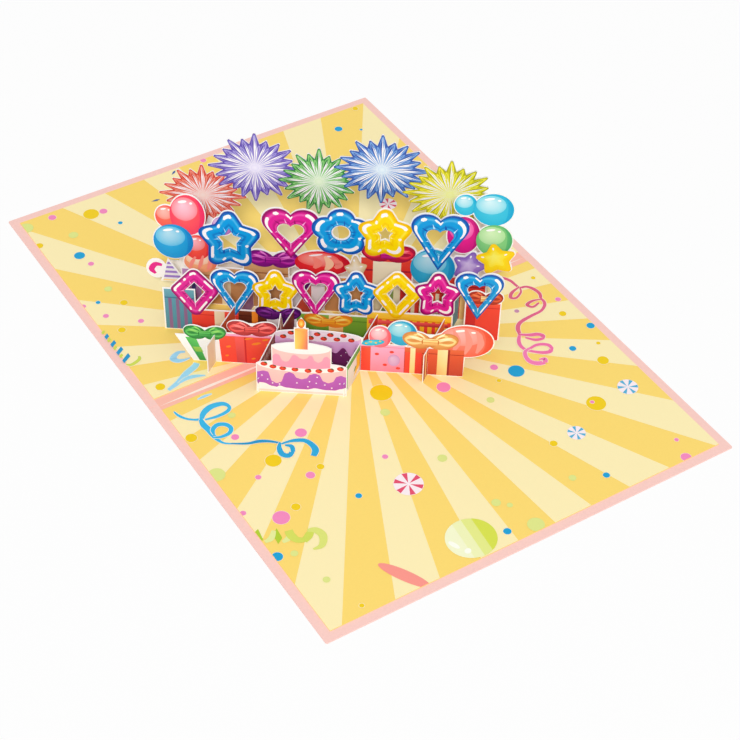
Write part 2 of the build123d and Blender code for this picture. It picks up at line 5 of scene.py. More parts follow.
import bpy
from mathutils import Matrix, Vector


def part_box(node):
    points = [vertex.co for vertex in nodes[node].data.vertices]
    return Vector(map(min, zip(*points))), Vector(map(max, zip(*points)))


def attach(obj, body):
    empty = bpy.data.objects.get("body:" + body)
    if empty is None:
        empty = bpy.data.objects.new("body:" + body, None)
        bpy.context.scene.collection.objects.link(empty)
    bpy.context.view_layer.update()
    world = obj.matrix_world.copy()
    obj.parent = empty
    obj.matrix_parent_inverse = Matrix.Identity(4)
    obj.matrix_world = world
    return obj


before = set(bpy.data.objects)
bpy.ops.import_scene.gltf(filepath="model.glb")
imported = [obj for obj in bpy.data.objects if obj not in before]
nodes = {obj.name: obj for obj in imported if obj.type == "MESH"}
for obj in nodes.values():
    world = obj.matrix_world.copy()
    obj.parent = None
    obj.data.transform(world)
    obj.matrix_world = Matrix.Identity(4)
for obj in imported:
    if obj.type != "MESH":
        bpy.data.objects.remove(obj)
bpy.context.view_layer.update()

# Cover
# One sheet of pink card, cut to 200 by 292.6 mm, creased and folded along its middle.
# It's uncoated, so its face is matt with a fine grain; the light along its crease is a painted highlight,
# drawn on the strip over the fold.
mm = 0.001
cover_pink = (250, 206, 197)
paper_gloss = 0.3
mottle_scale, mottle_detail = 900, 3
tooth_strength, tooth_depth = 0.08, 0.05 * mm


def linear(colour):
    """A colour written as sRGB numbers up to 255, as the linear colour that shaders take."""
    shares = [part / 255 for part in colour]
    return [(s / 12.92 if s <= 0.04045 else ((s + 0.055) / 1.055) ** 2.4) for s in shares] + [1.0]


def card_stock(name, colour, roughness=0.75, grain=0.05):
    """Plain card: one colour, a fine mottle and a slight tooth."""
    material = bpy.data.materials.new(name)
    material.use_nodes = True
    tree = material.node_tree
    shader = tree.nodes["Principled BSDF"]
    shader.inputs["Roughness"].default_value = roughness
    shader.inputs["Specular IOR Level"].default_value = paper_gloss
    places = tree.nodes.new("ShaderNodeTexCoord")
    mottle = tree.nodes.new("ShaderNodeTexNoise")
    mottle.inputs["Scale"].default_value = mottle_scale
    mottle.inputs["Detail"].default_value = mottle_detail
    tree.links.new(places.outputs["Object"], mottle.inputs["Vector"])
    shade = tree.nodes.new("ShaderNodeMix")
    shade.data_type = "RGBA"
    body = linear(colour)
    shade.inputs["A"].default_value = [part * (1 - grain) for part in body[:3]] + [1]
    shade.inputs["B"].default_value = [min(1, part * (1 + grain)) for part in body[:3]] + [1]
    tree.links.new(mottle.outputs["Fac"], shade.inputs["Factor"])
    tree.links.new(shade.outputs["Result"], shader.inputs["Base Color"])
    tooth = tree.nodes.new("ShaderNodeBump")
    tooth.inputs["Strength"].default_value = tooth_strength
    tooth.inputs["Distance"].default_value = tooth_depth
    tree.links.new(mottle.outputs["Fac"], tooth.inputs["Height"])
    tree.links.new(tooth.outputs["Normal"], shader.inputs["Normal"])
    return material


def give(node, material):
    """One material all over a CAD node."""
    nodes[node].data.materials.clear()
    nodes[node].data.materials.append(material)


give("card_cover", card_stock("pink card", cover_pink))

# Print
# The inks lie on the card as thin fields of colour, each a few hundredths of a millimetre thick.
# Every field carries a tone: 0 where the ink is palest and 1 at its deepest, which is its rim.
ink_lift = 0.03
ink_step = 0.012
dome_shares = (0.1, 0.3, 0.55, 0.8)
dome_power = 0.7
ribbon_steps = 8


def ink(name, pale, body, deep, gloss=0.42):
    """A printing ink that runs from a pale light through its body colour to a deep rim."""
    material = bpy.data.materials.new(name)
    material.use_nodes = True
    tree = material.node_tree
    shader = tree.nodes["Principled BSDF"]
    shader.inputs["Roughness"].default_value = gloss
    shader.inputs["Specular IOR Level"].default_value = paper_gloss
    tone = tree.nodes.new("ShaderNodeAttribute")
    tone.attribute_name = "tone"
    ramp = tree.nodes.new("ShaderNodeValToRGB")
    stops = ramp.color_ramp.elements
    stops[0].color = linear(pale)
    stops[1].color = linear(deep)
    stops.new(0.25).color = linear([(p + b) / 2 for p, b in zip(pale, body)])
    stops.new(0.5).color = linear(body)
    stops.new(0.75).color = linear([(b + d) / 2 for b, d in zip(body, deep)])
    tree.links.new(tone.outputs["Fac"], ramp.inputs["Fac"])
    tree.links.new(ramp.outputs["Color"], shader.inputs["Base Color"])
    return material


def ink_set(kind, colours, gloss=0.42):
    """Inks by colour name, from the pale, the body and the deep colour of each."""
    return {name: ink(name + " " + kind, *stops, gloss) for name, stops in colours.items()}


def flat_ink(name, colour, gloss=0.5):
    return ink(name, colour, colour, colour, gloss)


def flat_ink_set(kind, colours):
    return {name: flat_ink(name + " " + kind, colour) for name, colour in colours.items()}


class Plane:
    """Where a print lies: millimetres along its run and up, on one face or on both."""

    def __init__(self, origin, run, rise, thickness, faces=(1, -1)):
        self.origin = origin
        self.run = run
        self.rise = rise
        self.face = run.cross(rise)
        self.half = thickness / 2
        self.faces = faces

    def at(self, x, z, side, depth):
        off = side * (self.half + ink_lift + depth)
        return (self.origin + self.run * x + self.rise * z + self.face * off) * mm


def bounds_of(points):
    xs = [x for x, z in points]
    zs = [z for x, z in points]
    return min(xs), max(xs), min(zs), max(zs)


def faces_of(rings, closed):
    """The faces between each ring of points and the next."""
    if len(rings) == 1:
        return [tuple(rings[0])]
    made = []
    for outer, inner in zip(rings, rings[1:]):
        count = len(outer)
        for k in range(count if closed else count - 1):
            n = (k + 1) % count
            if len(inner) == 1:
                made.append((outer[k], outer[n], inner[0]))
            else:
                made.append((outer[k], outer[n], inner[n], inner[k]))
    return made


class Print:
    """All the fields of colour on one sheet. A field laid over another stands one step higher."""

    def __init__(self):
        self.fields = []

    def lay(self, material, *parts, closed=True):
        """A part is [(points, tone), ...]: loops from the rim inwards, or runs from below upwards.

        A tone is one number or one for each point. A closed part may end in a single point.
        """
        box = bounds_of([point for part in parts for points, tone in part for point in points])
        step = 0
        for *_, other, below in self.fields:
            if box[0] < other[1] and box[1] > other[0] and box[2] < other[3] and box[3] > other[2]:
                step = max(step, below + 1)
        self.fields.append((material, parts, closed, box, step))

    def press(self, name, plane):
        """Makes the mesh of all fields on the plane's faces."""
        points, faces, tones, inks, used = [], [], [], [], []
        for side in plane.faces:
            for material, parts, closed, box, step in self.fields:
                if material not in used:
                    used.append(material)
                made = []
                for part in parts:
                    rings = []
                    for loop, tone in part:
                        rings.append(list(range(len(points), len(points) + len(loop))))
                        points += [plane.at(x, z, side, step * ink_step) for x, z in loop]
                        tones += tone if isinstance(tone, list) else [tone] * len(loop)
                    made += faces_of(rings, closed)
                if side < 0:
                    made = [face[::-1] for face in made]
                faces += made
                inks += [used.index(material)] * len(made)
        mesh = bpy.data.meshes.new(name)
        mesh.from_pydata(points, [], faces)
        for material in used:
            mesh.materials.append(material)
        mesh.polygons.foreach_set("material_index", inks)
        tone = mesh.attributes.new("tone", "FLOAT", "POINT")
        tone.data.foreach_set("value", tones)
        piece = bpy.data.objects.new(name, mesh)
        bpy.context.scene.collection.objects.link(piece)
        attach(piece, "root")
        return piece


def counter_clockwise(points):
    area = sum(a[0] * b[1] - b[0] * a[1] for a, b in zip(points, points[1:] + points[:1]))
    return list(points) if area > 0 else list(points)[::-1]


def between(start, end, share):
    """The point at a share of the way from start to end."""
    return start[0] + (end[0] - start[0]) * share, start[1] + (end[1] - start[1]) * share


def towards(points, centre, share):
    """The points drawn towards a centre by a share of the way."""
    return [between(point, centre, share) for point in points]


def middle_of(points):
    left, right, low, high = bounds_of(points)
    return (left + right) / 2, (low + high) / 2


def plain(points, tone=0.5):
    """A part of one tone with an outline that doesn't turn in."""
    return [(counter_clockwise(points), tone)]


def even(points, tone=0.5):
    """A part of one tone. Its outline is seen whole from its middle."""
    return plain(points, tone) + [([middle_of(points)], tone)]


def patch(printed, material, points, tone=0.5):
    printed.lay(material, even(points, tone))


def domed(printed, material, points, light=(-0.2, 0.24), rim=1.0, top=0.0):
    """A rounded field: deep at its rim and palest where the light falls on it."""
    points = counter_clockwise(points)
    left, right, low, high = bounds_of(points)
    x, z = middle_of(points)
    spot = (x + light[0] * (right - left), z + light[1] * (high - low))
    loops = [(points, rim)]
    for share in dome_shares:
        centre = between((x, z), spot, share)
        loops.append((towards(points, centre, share), rim + (top - rim) * share ** dome_power))
    loops.append(([spot], top))
    printed.lay(material, loops)


def oval(x, z, width, height, turn=0.0, count=32):
    points = []
    for k in range(count):
        a, b = width / 2 * cos(2 * pi * k / count), height / 2 * sin(2 * pi * k / count)
        points.append((x + a * cos(turn) - b * sin(turn), z + a * sin(turn) + b * cos(turn)))
    return points


def bar(left, low, width, height):
    return [(left, low), (left + width, low), (left + width, low + height), (left, low + height)]


def slant(printed, material, corners, tones=0.5):
    """A field with four corners, of one tone or of one for each corner."""
    printed.lay(material, [(corners, tones)])


def block(printed, material, left, low, width, height, tones=0.5):
    """A rectangle. Its tones go from its lower left corner round to its upper left."""
    slant(printed, material, bar(left, low, width, height), tones)


def spots(printed, material, places, width, height, tone=0.5, count=8):
    """Small ovals of one size."""
    printed.lay(material, *[even(oval(x, z, width, height, count=count), tone) for x, z in places])


def wave(stops, steps=8):
    """A run through stops that lies level at each of them."""
    run = []
    for a, b in zip(stops, stops[1:]):
        for k in range(steps):
            rise = (1 - cos(pi * k / steps)) / 2
            run.append((a[0] + (b[0] - a[0]) * k / steps, a[1] + (b[1] - a[1]) * rise))
    return run + [stops[-1]]


def band(printed, material, lower, upper, tones=(0.5, 0.5)):
    """The field between a lower and an upper run of as many points."""
    printed.lay(material, [(lower, tones[0]), (upper, tones[1])], closed=False)


def half_across(start, end, width):
    """Half of a width, as a step square to the line from start to end."""
    dx, dz = end[0] - start[0], end[1] - start[1]
    reach = hypot(dx, dz)
    return -dz / reach * width / 2, dx / reach * width / 2


def stroke(start, end, width, belly=0.6):
    """A pointed stroke of the brush, widest at a share of its length."""
    nx, nz = half_across(start, end, width)
    x, z = between(start, end, belly)
    return [start, (x - nx, z - nz), end, (x + nx, z + nz)]


def ribbon(stops, tone=0.5):
    """A smooth open part through stops of x, z and width."""
    ends = [stops[0]] + stops + [stops[-1]]
    centres = []
    for a, b, c, d in zip(ends, ends[1:], ends[2:], ends[3:]):
        for k in range(ribbon_steps):
            t = k / ribbon_steps
            centres.append([
                (2 * q + (r - p) * t + (2 * p - 5 * q + 4 * r - s) * t * t
                 + (3 * q - p - 3 * r + s) * t ** 3) / 2
                for p, q, r, s in zip(a, b, c, d)])
    centres.append(list(stops[-1]))
    right, left = [], []
    for k, (x, z, width) in enumerate(centres):
        before, after = centres[max(0, k - 1)], centres[min(len(centres) - 1, k + 1)]
        nx, nz = half_across(before, after, width)
        right.append((x - nx, z - nz))
        left.append((x + nx, z + nz))
    return [(right, tone), (left, tone)]


def curl(printed, material, stops, tone=0.5):
    printed.lay(material, ribbon(stops, tone), closed=False)


# Printed panels
# Two panels of thinner card, glued inside the cover on each side of the fold.
# A sun burst of yellow rays spreads from the middle over both, with confetti, streamers and sweets.
sun_dark = (252, 218, 112)
sun_light = (253, 238, 182)
ray_turn = 15
ray_first = 8
ray_half = 3.7
ray_centre = (0.0, -4.3)
panel_paper = card_stock("printed yellow card", sun_dark, roughness=0.55, grain=0.02)
give("front_panel_print", panel_paper)
give("back_panel_print", panel_paper)

panels = []
for node in ("front_panel_print", "back_panel_print"):
    low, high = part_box(node)
    panels.append((low.x / mm, high.x / mm, low.y / mm, high.y / mm))
    stand_height = high.z / mm


def lying(height):
    """The plane of a print that lies flat, its face up."""
    return Plane(Vector((0, 0, height)), Vector((1, 0, 0)), Vector((0, 1, 0)), 0, faces=(1,))


def clip(points, left, right, low, high):
    """The part of a convex outline that lies inside a rectangle."""
    for axis, limit, keep in ((0, left, 1), (0, right, -1), (1, low, 1), (1, high, -1)):
        kept = []
        for a, b in zip(points, points[1:] + points[:1]):
            inside_a = keep * (a[axis] - limit) >= 0
            inside_b = keep * (b[axis] - limit) >= 0
            if inside_a:
                kept.append(a)
            if inside_a != inside_b:
                kept.append(between(a, b, (limit - a[axis]) / (b[axis] - a[axis])))
        points = kept
        if len(points) < 3:
            return []
    return points


def on_panel(points):
    """The part of a convex outline that lies on the panel under its middle."""
    left, right, low, high = panels[0] if middle_of(points)[1] < 0 else panels[1]
    return counter_clockwise(clip(points, left, right, low, high))


def turned(points, turn):
    return [(x * cos(turn) - z * sin(turn), z * cos(turn) + x * sin(turn)) for x, z in points]


def right_of(points, start, turn):
    """The part of a convex outline to the right of x = start, both turned about the origin."""
    return turned(clip(turned(points, -turn), start, inf, -inf, inf), turn)


panel_print = Print()
rays = []
for left, right, low, high in panels:
    for step in range(360 // ray_turn):
        angle = radians(ray_first + ray_turn * step)
        half = radians(ray_half)
        far = hypot(right, high - low) * 2
        tips = [(ray_centre[0] + far * cos(angle + turn), ray_centre[1] + far * sin(angle + turn))
                for turn in (-half, half)]
        shape = clip([ray_centre] + tips, left, right, low, high)
        if shape:
            rays.append(plain(shape))
panel_print.lay(flat_ink("pale sun ray", sun_light, gloss=0.55), *rays)

confetti_inks = flat_ink_set("confetti", {
    "rim": (252, 238, 206),
    "pink": (244, 138, 190),
    "blue": (0, 160, 212),
    "green": (222, 230, 136),
    "yellow": (242, 206, 0),
    "purple": (200, 140, 172),
    "navy": (56, 94, 160),
})
# x, y and size of each dot
confetti = {
    "yellow": [
        (-10, -43, 9.9), (38, -63, 2.2), (85, -76, 5.2), (90, -66, 2), (88, -42, 3.4), (91, -15, 2.2),
        (66, -96, 8.7), (36, -106, 3.4), (-90, 9, 4.3), (-93, -25, 5), (-70, -54, 7), (-55, -67, 3.3),
        (-75, -81, 3.9), (-79, -138, 2.1), (-64, 131, 7.6), (-95, 122, 3.7), (-79, 66, 3.6),
        (-88, 50, 3.6), (90, 140, 3.1),
    ],
    "pink": [
        (15, -54, 6.1), (41, -55, 3.5), (92, -33, 2.7), (65, -94.5, 1.8), (82, -131, 2), (-29, -76, 2.6),
        (79, -141, 4.6), (-77, -34, 3.4), (-52, -46, 5.1), (-61, -69, 3.9), (-80, -59, 2.6),
        (-95, -73, 2.6), (-83, -83, 7.2), (-81, 138, 3.8), (-58, 130, 3.8), (-80, 98, 2.8),
        (-96, 73, 2.7), (-90, 62, 2.7), (-78, 51, 2.7), (2, 141, 3),
    ],
    "blue": [
        (48, -62, 7.3), (78, -63, 3.2), (94, -55, 3.8), (44, -132, 3), (-9, -136, 3.4), (-94.6, -100, 4.6),
        (-50, -89, 2.8), (-55, 118, 2.2), (-82, 106, 5.1), (-89, 72, 2.2), (73.4, 129.3, 4),
        (83, 123, 1.5),
    ],
    "green": [
        (28, -71, 3.5), (44, -46, 2.7), (-15, -54, 4.3), (-9, -89, 4.2), (31, -126, 3.3), (-4, -121, 4),
        (0, -125, 2.6), (3, -139, 7.3), (-94, -49, 7.4), (-88, -102, 3.2), (-84, -120, 3.1),
        (-72, -22, 3.4), (-78, 121, 4.6), (-95, 137, 7), (-81, 78, 3.6),
    ],
    "purple": [(71, -30, 2.3)],
}
confetti_rim = 0.36


def confetti_dots(paint, dots, rim=0.0):
    panel_print.lay(confetti_inks[paint], *[
        even(on_panel(oval(x, y, size + rim, size + rim, count=20))) for x, y, size in dots])


for colour, dots in confetti.items():
    if colour != "green":
        confetti_dots("rim", dots, confetti_rim)
    confetti_dots(colour, dots)

streamer_inks = ink_set("streamer", {
    "sky": ((176, 226, 246), (156, 216, 242), (120, 196, 234)),
    "blue": ((112, 206, 240), (32, 180, 230), (0, 144, 198)),
    "pink": ((252, 146, 200), (244, 112, 168), (216, 86, 114)),
    "lime": ((236, 240, 170), (212, 222, 90), (176, 206, 40)),
})
# colour, tone, and the stops of each streamer: x, y and width
streamers = [
    ("sky", 0.5, [(-70.5, 23, 1), (-73.5, 24, 2), (-77, 22, 3), (-76, 19.5, 2.4), (-73, 18.5, 1.4),
                  (-70.5, 18.5, 0.6)]),
    ("sky", 0.5, [(-69.5, 14, 2.6), (-71.5, 12.5, 3), (-76.5, 10.5, 3), (-82, 7.4, 2.6),
                  (-88, 5.4, 1.6)]),
    ("sky", 0.5, [(-82.5, 6.6, 0.8), (-78, 7.6, 2), (-74, 7, 2), (-70, 5.2, 0.6)]),
    ("sky", 0.4, [(-80, -6.2, 0.5), (-76.5, -6, 1.4), (-73, -6.2, 0.5)]),
    ("blue", 0.42, [(-92, -7.5, 0.6), (-91.5, -10.5, 1.3), (-89.5, -14, 1.2), (-86.5, -16.5, 1.2),
                    (-84, -17.5, 2)]),
    ("blue", 0.4, [(-84.5, -18, 1.6), (-81.5, -14.7, 2.8), (-77, -13, 3), (-72, -14, 2.4),
                   (-70.5, -17, 1.6), (-72.5, -19, 1.8), (-77.5, -19.5, 1.6), (-83, -18.6, 1)]),
    ("blue", 0.45, [(-84.5, -17.5, 1.8), (-85, -21, 2.8), (-84.5, -24.5, 2.8), (-84.5, -28.5, 2.2),
                    (-84, -32, 1.6), (-82.5, -35, 1), (-79, -37.5, 0.8)]),
    ("blue", 0.45, [(-84, -28.5, 0.9), (-83, -25.5, 2), (-80, -24, 2.2), (-77, -25.5, 2.2),
                    (-76, -28.5, 2), (-78, -30.8, 1.9), (-82, -31, 1.5), (-85, -29.6, 0.9)]),
    ("blue", 0.95, [(-80.5, -36.5, 0.8), (-74.5, -40, 1.3), (-69.5, -41.5, 1.8), (-65.5, -44, 1.4),
                    (-62.5, -47, 1)]),
    ("blue", 0.7, [(-62.5, -46.5, 1), (-64.5, -49.5, 2.2), (-65, -53, 2.6), (-63, -55, 2.4),
                   (-60.5, -53.5, 2)]),
    ("blue", 0.7, [(-60.5, -54, 1.8), (-59.5, -51, 2), (-61.5, -49, 1)]),
    ("blue", 0.66, [(-62.5, -47.6, 0.9), (-59, -48, 1.4), (-56, -49, 2), (-53, -51, 2.2),
                    (-51.7, -54.5, 2.6), (-52, -58, 3), (-54.5, -60.5, 2.4)]),
    ("pink", 0.9, [(75, -5, 0.8), (78, -7, 1.6), (80.5, -11, 1.6), (81, -15, 1.4), (81.5, -17.5, 1.3),
                   (84.5, -18.5, 1.4), (86.5, -21.5, 1.8), (87, -25.5, 1.7), (85.5, -28.5, 1.3)]),
    ("pink", 0.9, [(81.5, -17, 0.8), (76.5, -18.5, 1.6), (74, -21, 1.6), (76, -22.5, 1.3), (80, -20.5, 1),
                   (81.5, -18, 0.8)]),
    ("pink", 0.8, [(85.5, -28.5, 1.2), (85.5, -31, 1.5), (84, -33.5, 1.5), (80.5, -35.5, 1.4),
                   (75, -36, 1.6), (70.5, -36.5, 1.8), (67, -37.5, 1.9), (64.5, -40, 2), (63, -44, 1.6)]),
    ("pink", 0.9, [(85, -29, 0.7), (81, -28, 1.4), (77.5, -29, 1.6), (79, -31.5, 1.3), (83, -30.5, 1)]),
    ("pink", 0.6, [(63, -43.5, 1.2), (66.5, -46, 2), (70, -47.5, 2.2), (71.5, -49.5, 2), (70, -51, 1.8)]),
    ("pink", 0.6, [(70.5, -51, 1.6), (67, -50, 1.8), (64, -46.5, 1)]),
    ("pink", 0.5, [(62.5, -44, 1.4), (60, -47, 1.8), (59, -50, 1.8), (59.5, -53, 1.6), (62, -56, 1.6),
                   (65, -58.5, 2), (68, -59.5, 2), (70, -58, 1.8)]),
    ("pink", 0.5, [(70, -58.5, 1.6), (70, -56, 1.9), (68, -54, 1.8), (65, -53, 1.6), (61, -53.5, 1.3)]),
    ("pink", 0.3, [(61.5, -53.2, 1.2), (58.5, -54, 1.6), (56.8, -57, 2), (56.8, -60.5, 2.4),
                   (59, -63, 2.6), (62, -64, 2.4)]),
    ("pink", 0.3, [(62, -64.2, 2.2), (63.3, -62.3, 1.8), (61, -61.3, 1)]),
    ("lime", 0.6, [(-96.3, 29, 0.8), (-94.7, 27.7, 1.6), (-92, 28.1, 1.7), (-89.8, 29.2, 1.6),
                   (-89.2, 30.8, 1.1)]),
]
streamer_rim = 0.5
for colour, tone, stops in streamers:
    thick = [(x, y, width + streamer_rim) for x, y, width in stops]
    curl(panel_print, confetti_inks["rim"], thick)
    curl(panel_print, streamer_inks[colour], stops, tone)

# the green spiral at the front corner, and the short blue and lime dashes by the left edge
for corners in ([(-94, -83.5), (-95, -89.5), (-97, -90), (-96.5, -84.5)],
                [(-87.5, -87), (-88, -92.5), (-91, -94.5), (-90.5, -89.5)]):
    patch(panel_print, streamer_inks["lime"], on_panel(corners), tone=1.0)
for tone, stops in (
        (0.12, [(-95, -90.8, 1.5), (-92, -90.5, 2.6), (-89, -87.5, 1.8)]),
        (0.12, [(-89, -94.6, 1.5), (-86, -94, 2.6), (-83, -91, 1.8)]),
        (0.5, [(-84, -90.5, 3.4), (-84.4, -93.6, 3.6), (-83.4, -96.6, 3), (-81, -98, 2.4)]),
        (0.55, [(-81.5, -98.5, 2.6), (-78.5, -97, 3.4), (-76, -95, 2.4)]),
        (0.35, [(-77.5, -94.4, 1.6), (-74.5, -96, 3), (-73.6, -100, 3.4), (-76.5, -104, 2.6),
                (-80.5, -104, 0.8)])):
    curl(panel_print, streamer_inks["lime"], stops, tone)
dash_left, dash_first, dash_pitch, dash_count = -96.7, 31.2, 5.9, 4
for k in range(dash_count):
    low, reach = dash_first + dash_pitch * k, 4.3 - 0.75 * k
    right, inner = dash_left + reach, dash_left + 1.8
    patch(panel_print, streamer_inks["lime"],
          [(dash_left, low + 2.6), (dash_left, low + 4.2), (inner, low + 5), (inner, low + 3.6)], tone=0.6)
    panel_print.lay(streamer_inks["blue"], plain(
        [(dash_left, low - 1.1), (dash_left, low + 1), (right, low + 1 + 0.68 * reach),
         (right, low - 1.1 + 0.62 * reach)], 0.95))
panel_print.lay(confetti_inks["navy"], *[even(stroke(start, end, 1.3)) for start, end in (
    ((-35, 124.9), (-30.5, 124.4)), ((-26.8, 125.9), (-23.6, 126.9)), ((-16.8, 138.4), (-13.6, 140.8)))])

peppermint_inks = flat_ink_set("peppermint", {
    "white": (252, 238, 242),
    "red": (228, 76, 108),
    "blue": (84, 176, 214),
})
peppermint_stripes = 6
# colour, x, y, size and turn
peppermints = [
    ("red", -29, -94, 12.6, 0.25),
    ("red", 62.4, 65.3, 8.6, 0.1),
    ("blue", 84, -95, 9.2, 0.6),
    ("blue", 48, -106, 8, 0.2),
]
stripe_root_share, stripe_reach_share, stripe_half_turn = 0.05, 0.49, 0.2
for colour, x, y, size, turn in peppermints:
    # a round sweet with stripes that widen from its middle to its rim
    patch(panel_print, peppermint_inks["white"], oval(x, y, size, size))
    stripes = []
    for k in range(peppermint_stripes):
        angle = turn + 2 * pi * k / peppermint_stripes
        stripes.append(plain([
            (x + size * share * cos(angle + lean), y + size * share * sin(angle + lean))
            for share, lean in ((stripe_root_share, 0), (stripe_reach_share, -stripe_half_turn),
                                (stripe_reach_share, stripe_half_turn))]))
    panel_print.lay(peppermint_inks[colour], *stripes)

# the green ball, whose stripes are each deeper than the last, and the pink leaf at the front edge
ball_x, ball_y, ball_turn = -23.5, -131.5, radians(-6)
ball_width, ball_height, ball_reach = 21.5, 20.5, 10.6
ball = oval(ball_x, ball_y, ball_width, ball_height, count=48)
ball_middle = turned([(ball_x, ball_y)], -ball_turn)[0][0]
ball_ink = ink("green ball", (254, 255, 240), (240, 244, 184), (214, 224, 72))
patch(panel_print, ball_ink, on_panel(ball), tone=0.3)
for share, tone in ((-0.34, 0.5), (0.06, 0.72), (0.46, 1.0)):
    patch(panel_print, ball_ink, on_panel(right_of(ball, ball_middle + ball_reach * share, ball_turn)),
          tone=tone)
for x, y, width, height in ((-31.4, -131, 2.2, 5.6), (-28.4, -136.4, 3, 2.6)):
    patch(panel_print, ball_ink, on_panel(oval(x, y, width, height, turn=0.35, count=20)), tone=0.0)
patch(panel_print, flat_ink("pink leaf", (250, 150, 138)),
      on_panel(oval(-56.8, -134, 23.6, 5.4, turn=radians(-61))))
panel_print.press("sunburst_print", lying(stand_height))

# the pink strip between the panels, printed a deeper pink that is partly painted shade of the crease, with
# a painted highlight along the crease
cover_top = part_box("card_cover")[1].z / mm
strip_pink_shade_and_highlight_ink = ink("strip pink with painted shade and highlight", (255, 240, 228), (252, 190, 172), (246, 176, 156), gloss=0.75)
strip_print_and_painted_light = Print()
strip_margin = 0.2
strip_left, strip_right = panels[0][:2]
strip_half = panels[1][2] - strip_margin
# a deeper pink over the whole strip, partly painted shade in the crease
block(strip_print_and_painted_light, strip_pink_shade_and_highlight_ink, strip_left, -strip_half, strip_right - strip_left, 2 * strip_half)
# two pale strokes along the crease: a painted highlight
strip_print_and_painted_light.lay(strip_pink_shade_and_highlight_ink, plain(stroke((strip_left, -1.1), (0, -0.8), 1.5, belly=0.25), 0.0),
                plain(stroke((0, -0.6), (strip_right, -0.6), 1.2, belly=0.8), 0.0))
strip_print_and_painted_light.press("fold_print_and_painted_light", lying(cover_top))

# Standing sheets
# Nine die-cut sheets of white card, printed on both faces and slotted into each other.
# The white edge round each picture is the margin that the cutting die leaves.
white_stock = card_stock("white card", (250, 248, 246), roughness=0.6, grain=0.015)
for node in ("cake_front", "front_gift_row", "second_row", "first_row", "fireworks_arch",
             "left_cross_sheet", "cake_left_side", "cake_right_side", "right_cross_sheet"):
    give(node, white_stock)

lattice_angle = radians(36)
along = Vector((cos(lattice_angle), -sin(lattice_angle), 0))
across = Vector((cos(lattice_angle), sin(lattice_angle), 0))
up = Vector((0, 0, 1))


def standing(node, run):
    """The plane of a standing sheet, from the place of its CAD node above the folded feet."""
    face = run.cross(up)
    depths = [v.co.dot(face) / mm for v in nodes[node].data.vertices if v.co.z / mm > stand_height + 1]
    near, far = min(depths), max(depths)
    return Plane(face * (near + far) / 2 + up * stand_height, run, up, far - near)


# Figures of foil tube
# Hollow stars, hearts, diamonds and a flower, printed as blown up foil balloons.
# Each tube is palest along a line on its upper side, and the card is open inside it.
foil = ink_set("foil", {
    "blue": ((186, 236, 255), (0, 158, 226), (20, 70, 168)),
    "magenta": ((255, 170, 228), (226, 30, 150), (140, 8, 96)),
    "yellow": ((255, 252, 170), (255, 222, 0), (240, 184, 0)),
}, gloss=0.3)
glint_ink = flat_ink("white glint", (255, 252, 253), gloss=0.3)
tube_profile = [(0.0, 0.85), (0.07, 1.0), (0.2, 0.62), (0.34, 0.3), (0.46, 0.5), (0.66, 0.5), (0.8, 0.72),
                (0.92, 0.35), (1.0, 0.8)]
glint_spans = [(6, 20), (28, 34), (38, 42), (46, 60), (68, 78), (84, 87), (92, 106), (112, 116)]
wrinkle_spots = [3, 15, 24, 36, 44, 57, 64, 74, 82, 90, 100, 110, 117]
tube_star_share = 0.58
star_apothem_share = 0.55
star_tips = 5
heart_lobe_share = 0.27
heart_opening_share = 1.25
diamond_girdle_share = 0.12
petal_ring_share = 0.27
petal_share = 0.235
flower_hole_share = 0.14
opening_margin = 0.5
directions = 120
heart_lobe_steps = 14
wrinkle_root, wrinkle_crest = 0.94, 0.62
glint_near, glint_middle, glint_far = 0.2, 0.3, 0.4
parallel, end_slack = 1e-12, 1e-9
search_bends, search_steps = 6, 24


def reach_of(corners, angle):
    """How far from the middle a ray at this angle leaves a closed outline."""
    ray = (cos(angle), sin(angle))
    best = 0.0
    for a, b in zip(corners, corners[1:] + corners[:1]):
        ex, ez = b[0] - a[0], b[1] - a[1]
        cross = ray[0] * ez - ray[1] * ex
        if abs(cross) < parallel:
            continue
        far = (a[0] * ez - a[1] * ex) / cross
        share = (a[0] * ray[1] - a[1] * ray[0]) / cross
        if far > 0 and -end_slack <= share <= 1 + end_slack:
            best = max(best, far)
    return best


def gap_to(corners, x, z):
    """Distance from a point to a closed run of lines."""
    best = inf
    for a, b in zip(corners, corners[1:] + corners[:1]):
        ex, ez = b[0] - a[0], b[1] - a[1]
        share = ((x - a[0]) * ex + (z - a[1]) * ez) / (ex * ex + ez * ez)
        share = min(1, max(0, share))
        best = min(best, hypot(x - a[0] - ex * share, z - a[1] - ez * share))
    return best


def blunt_reach(corners, bend, angle):
    """The reach of the outline that stands one bend outside the corners."""
    inner = reach_of(corners, angle)
    outer = inner + search_bends * bend
    for _ in range(search_steps):
        trial = (inner + outer) / 2
        if gap_to(corners, trial * cos(angle), trial * sin(angle)) > bend:
            outer = trial
        else:
            inner = trial
    return inner


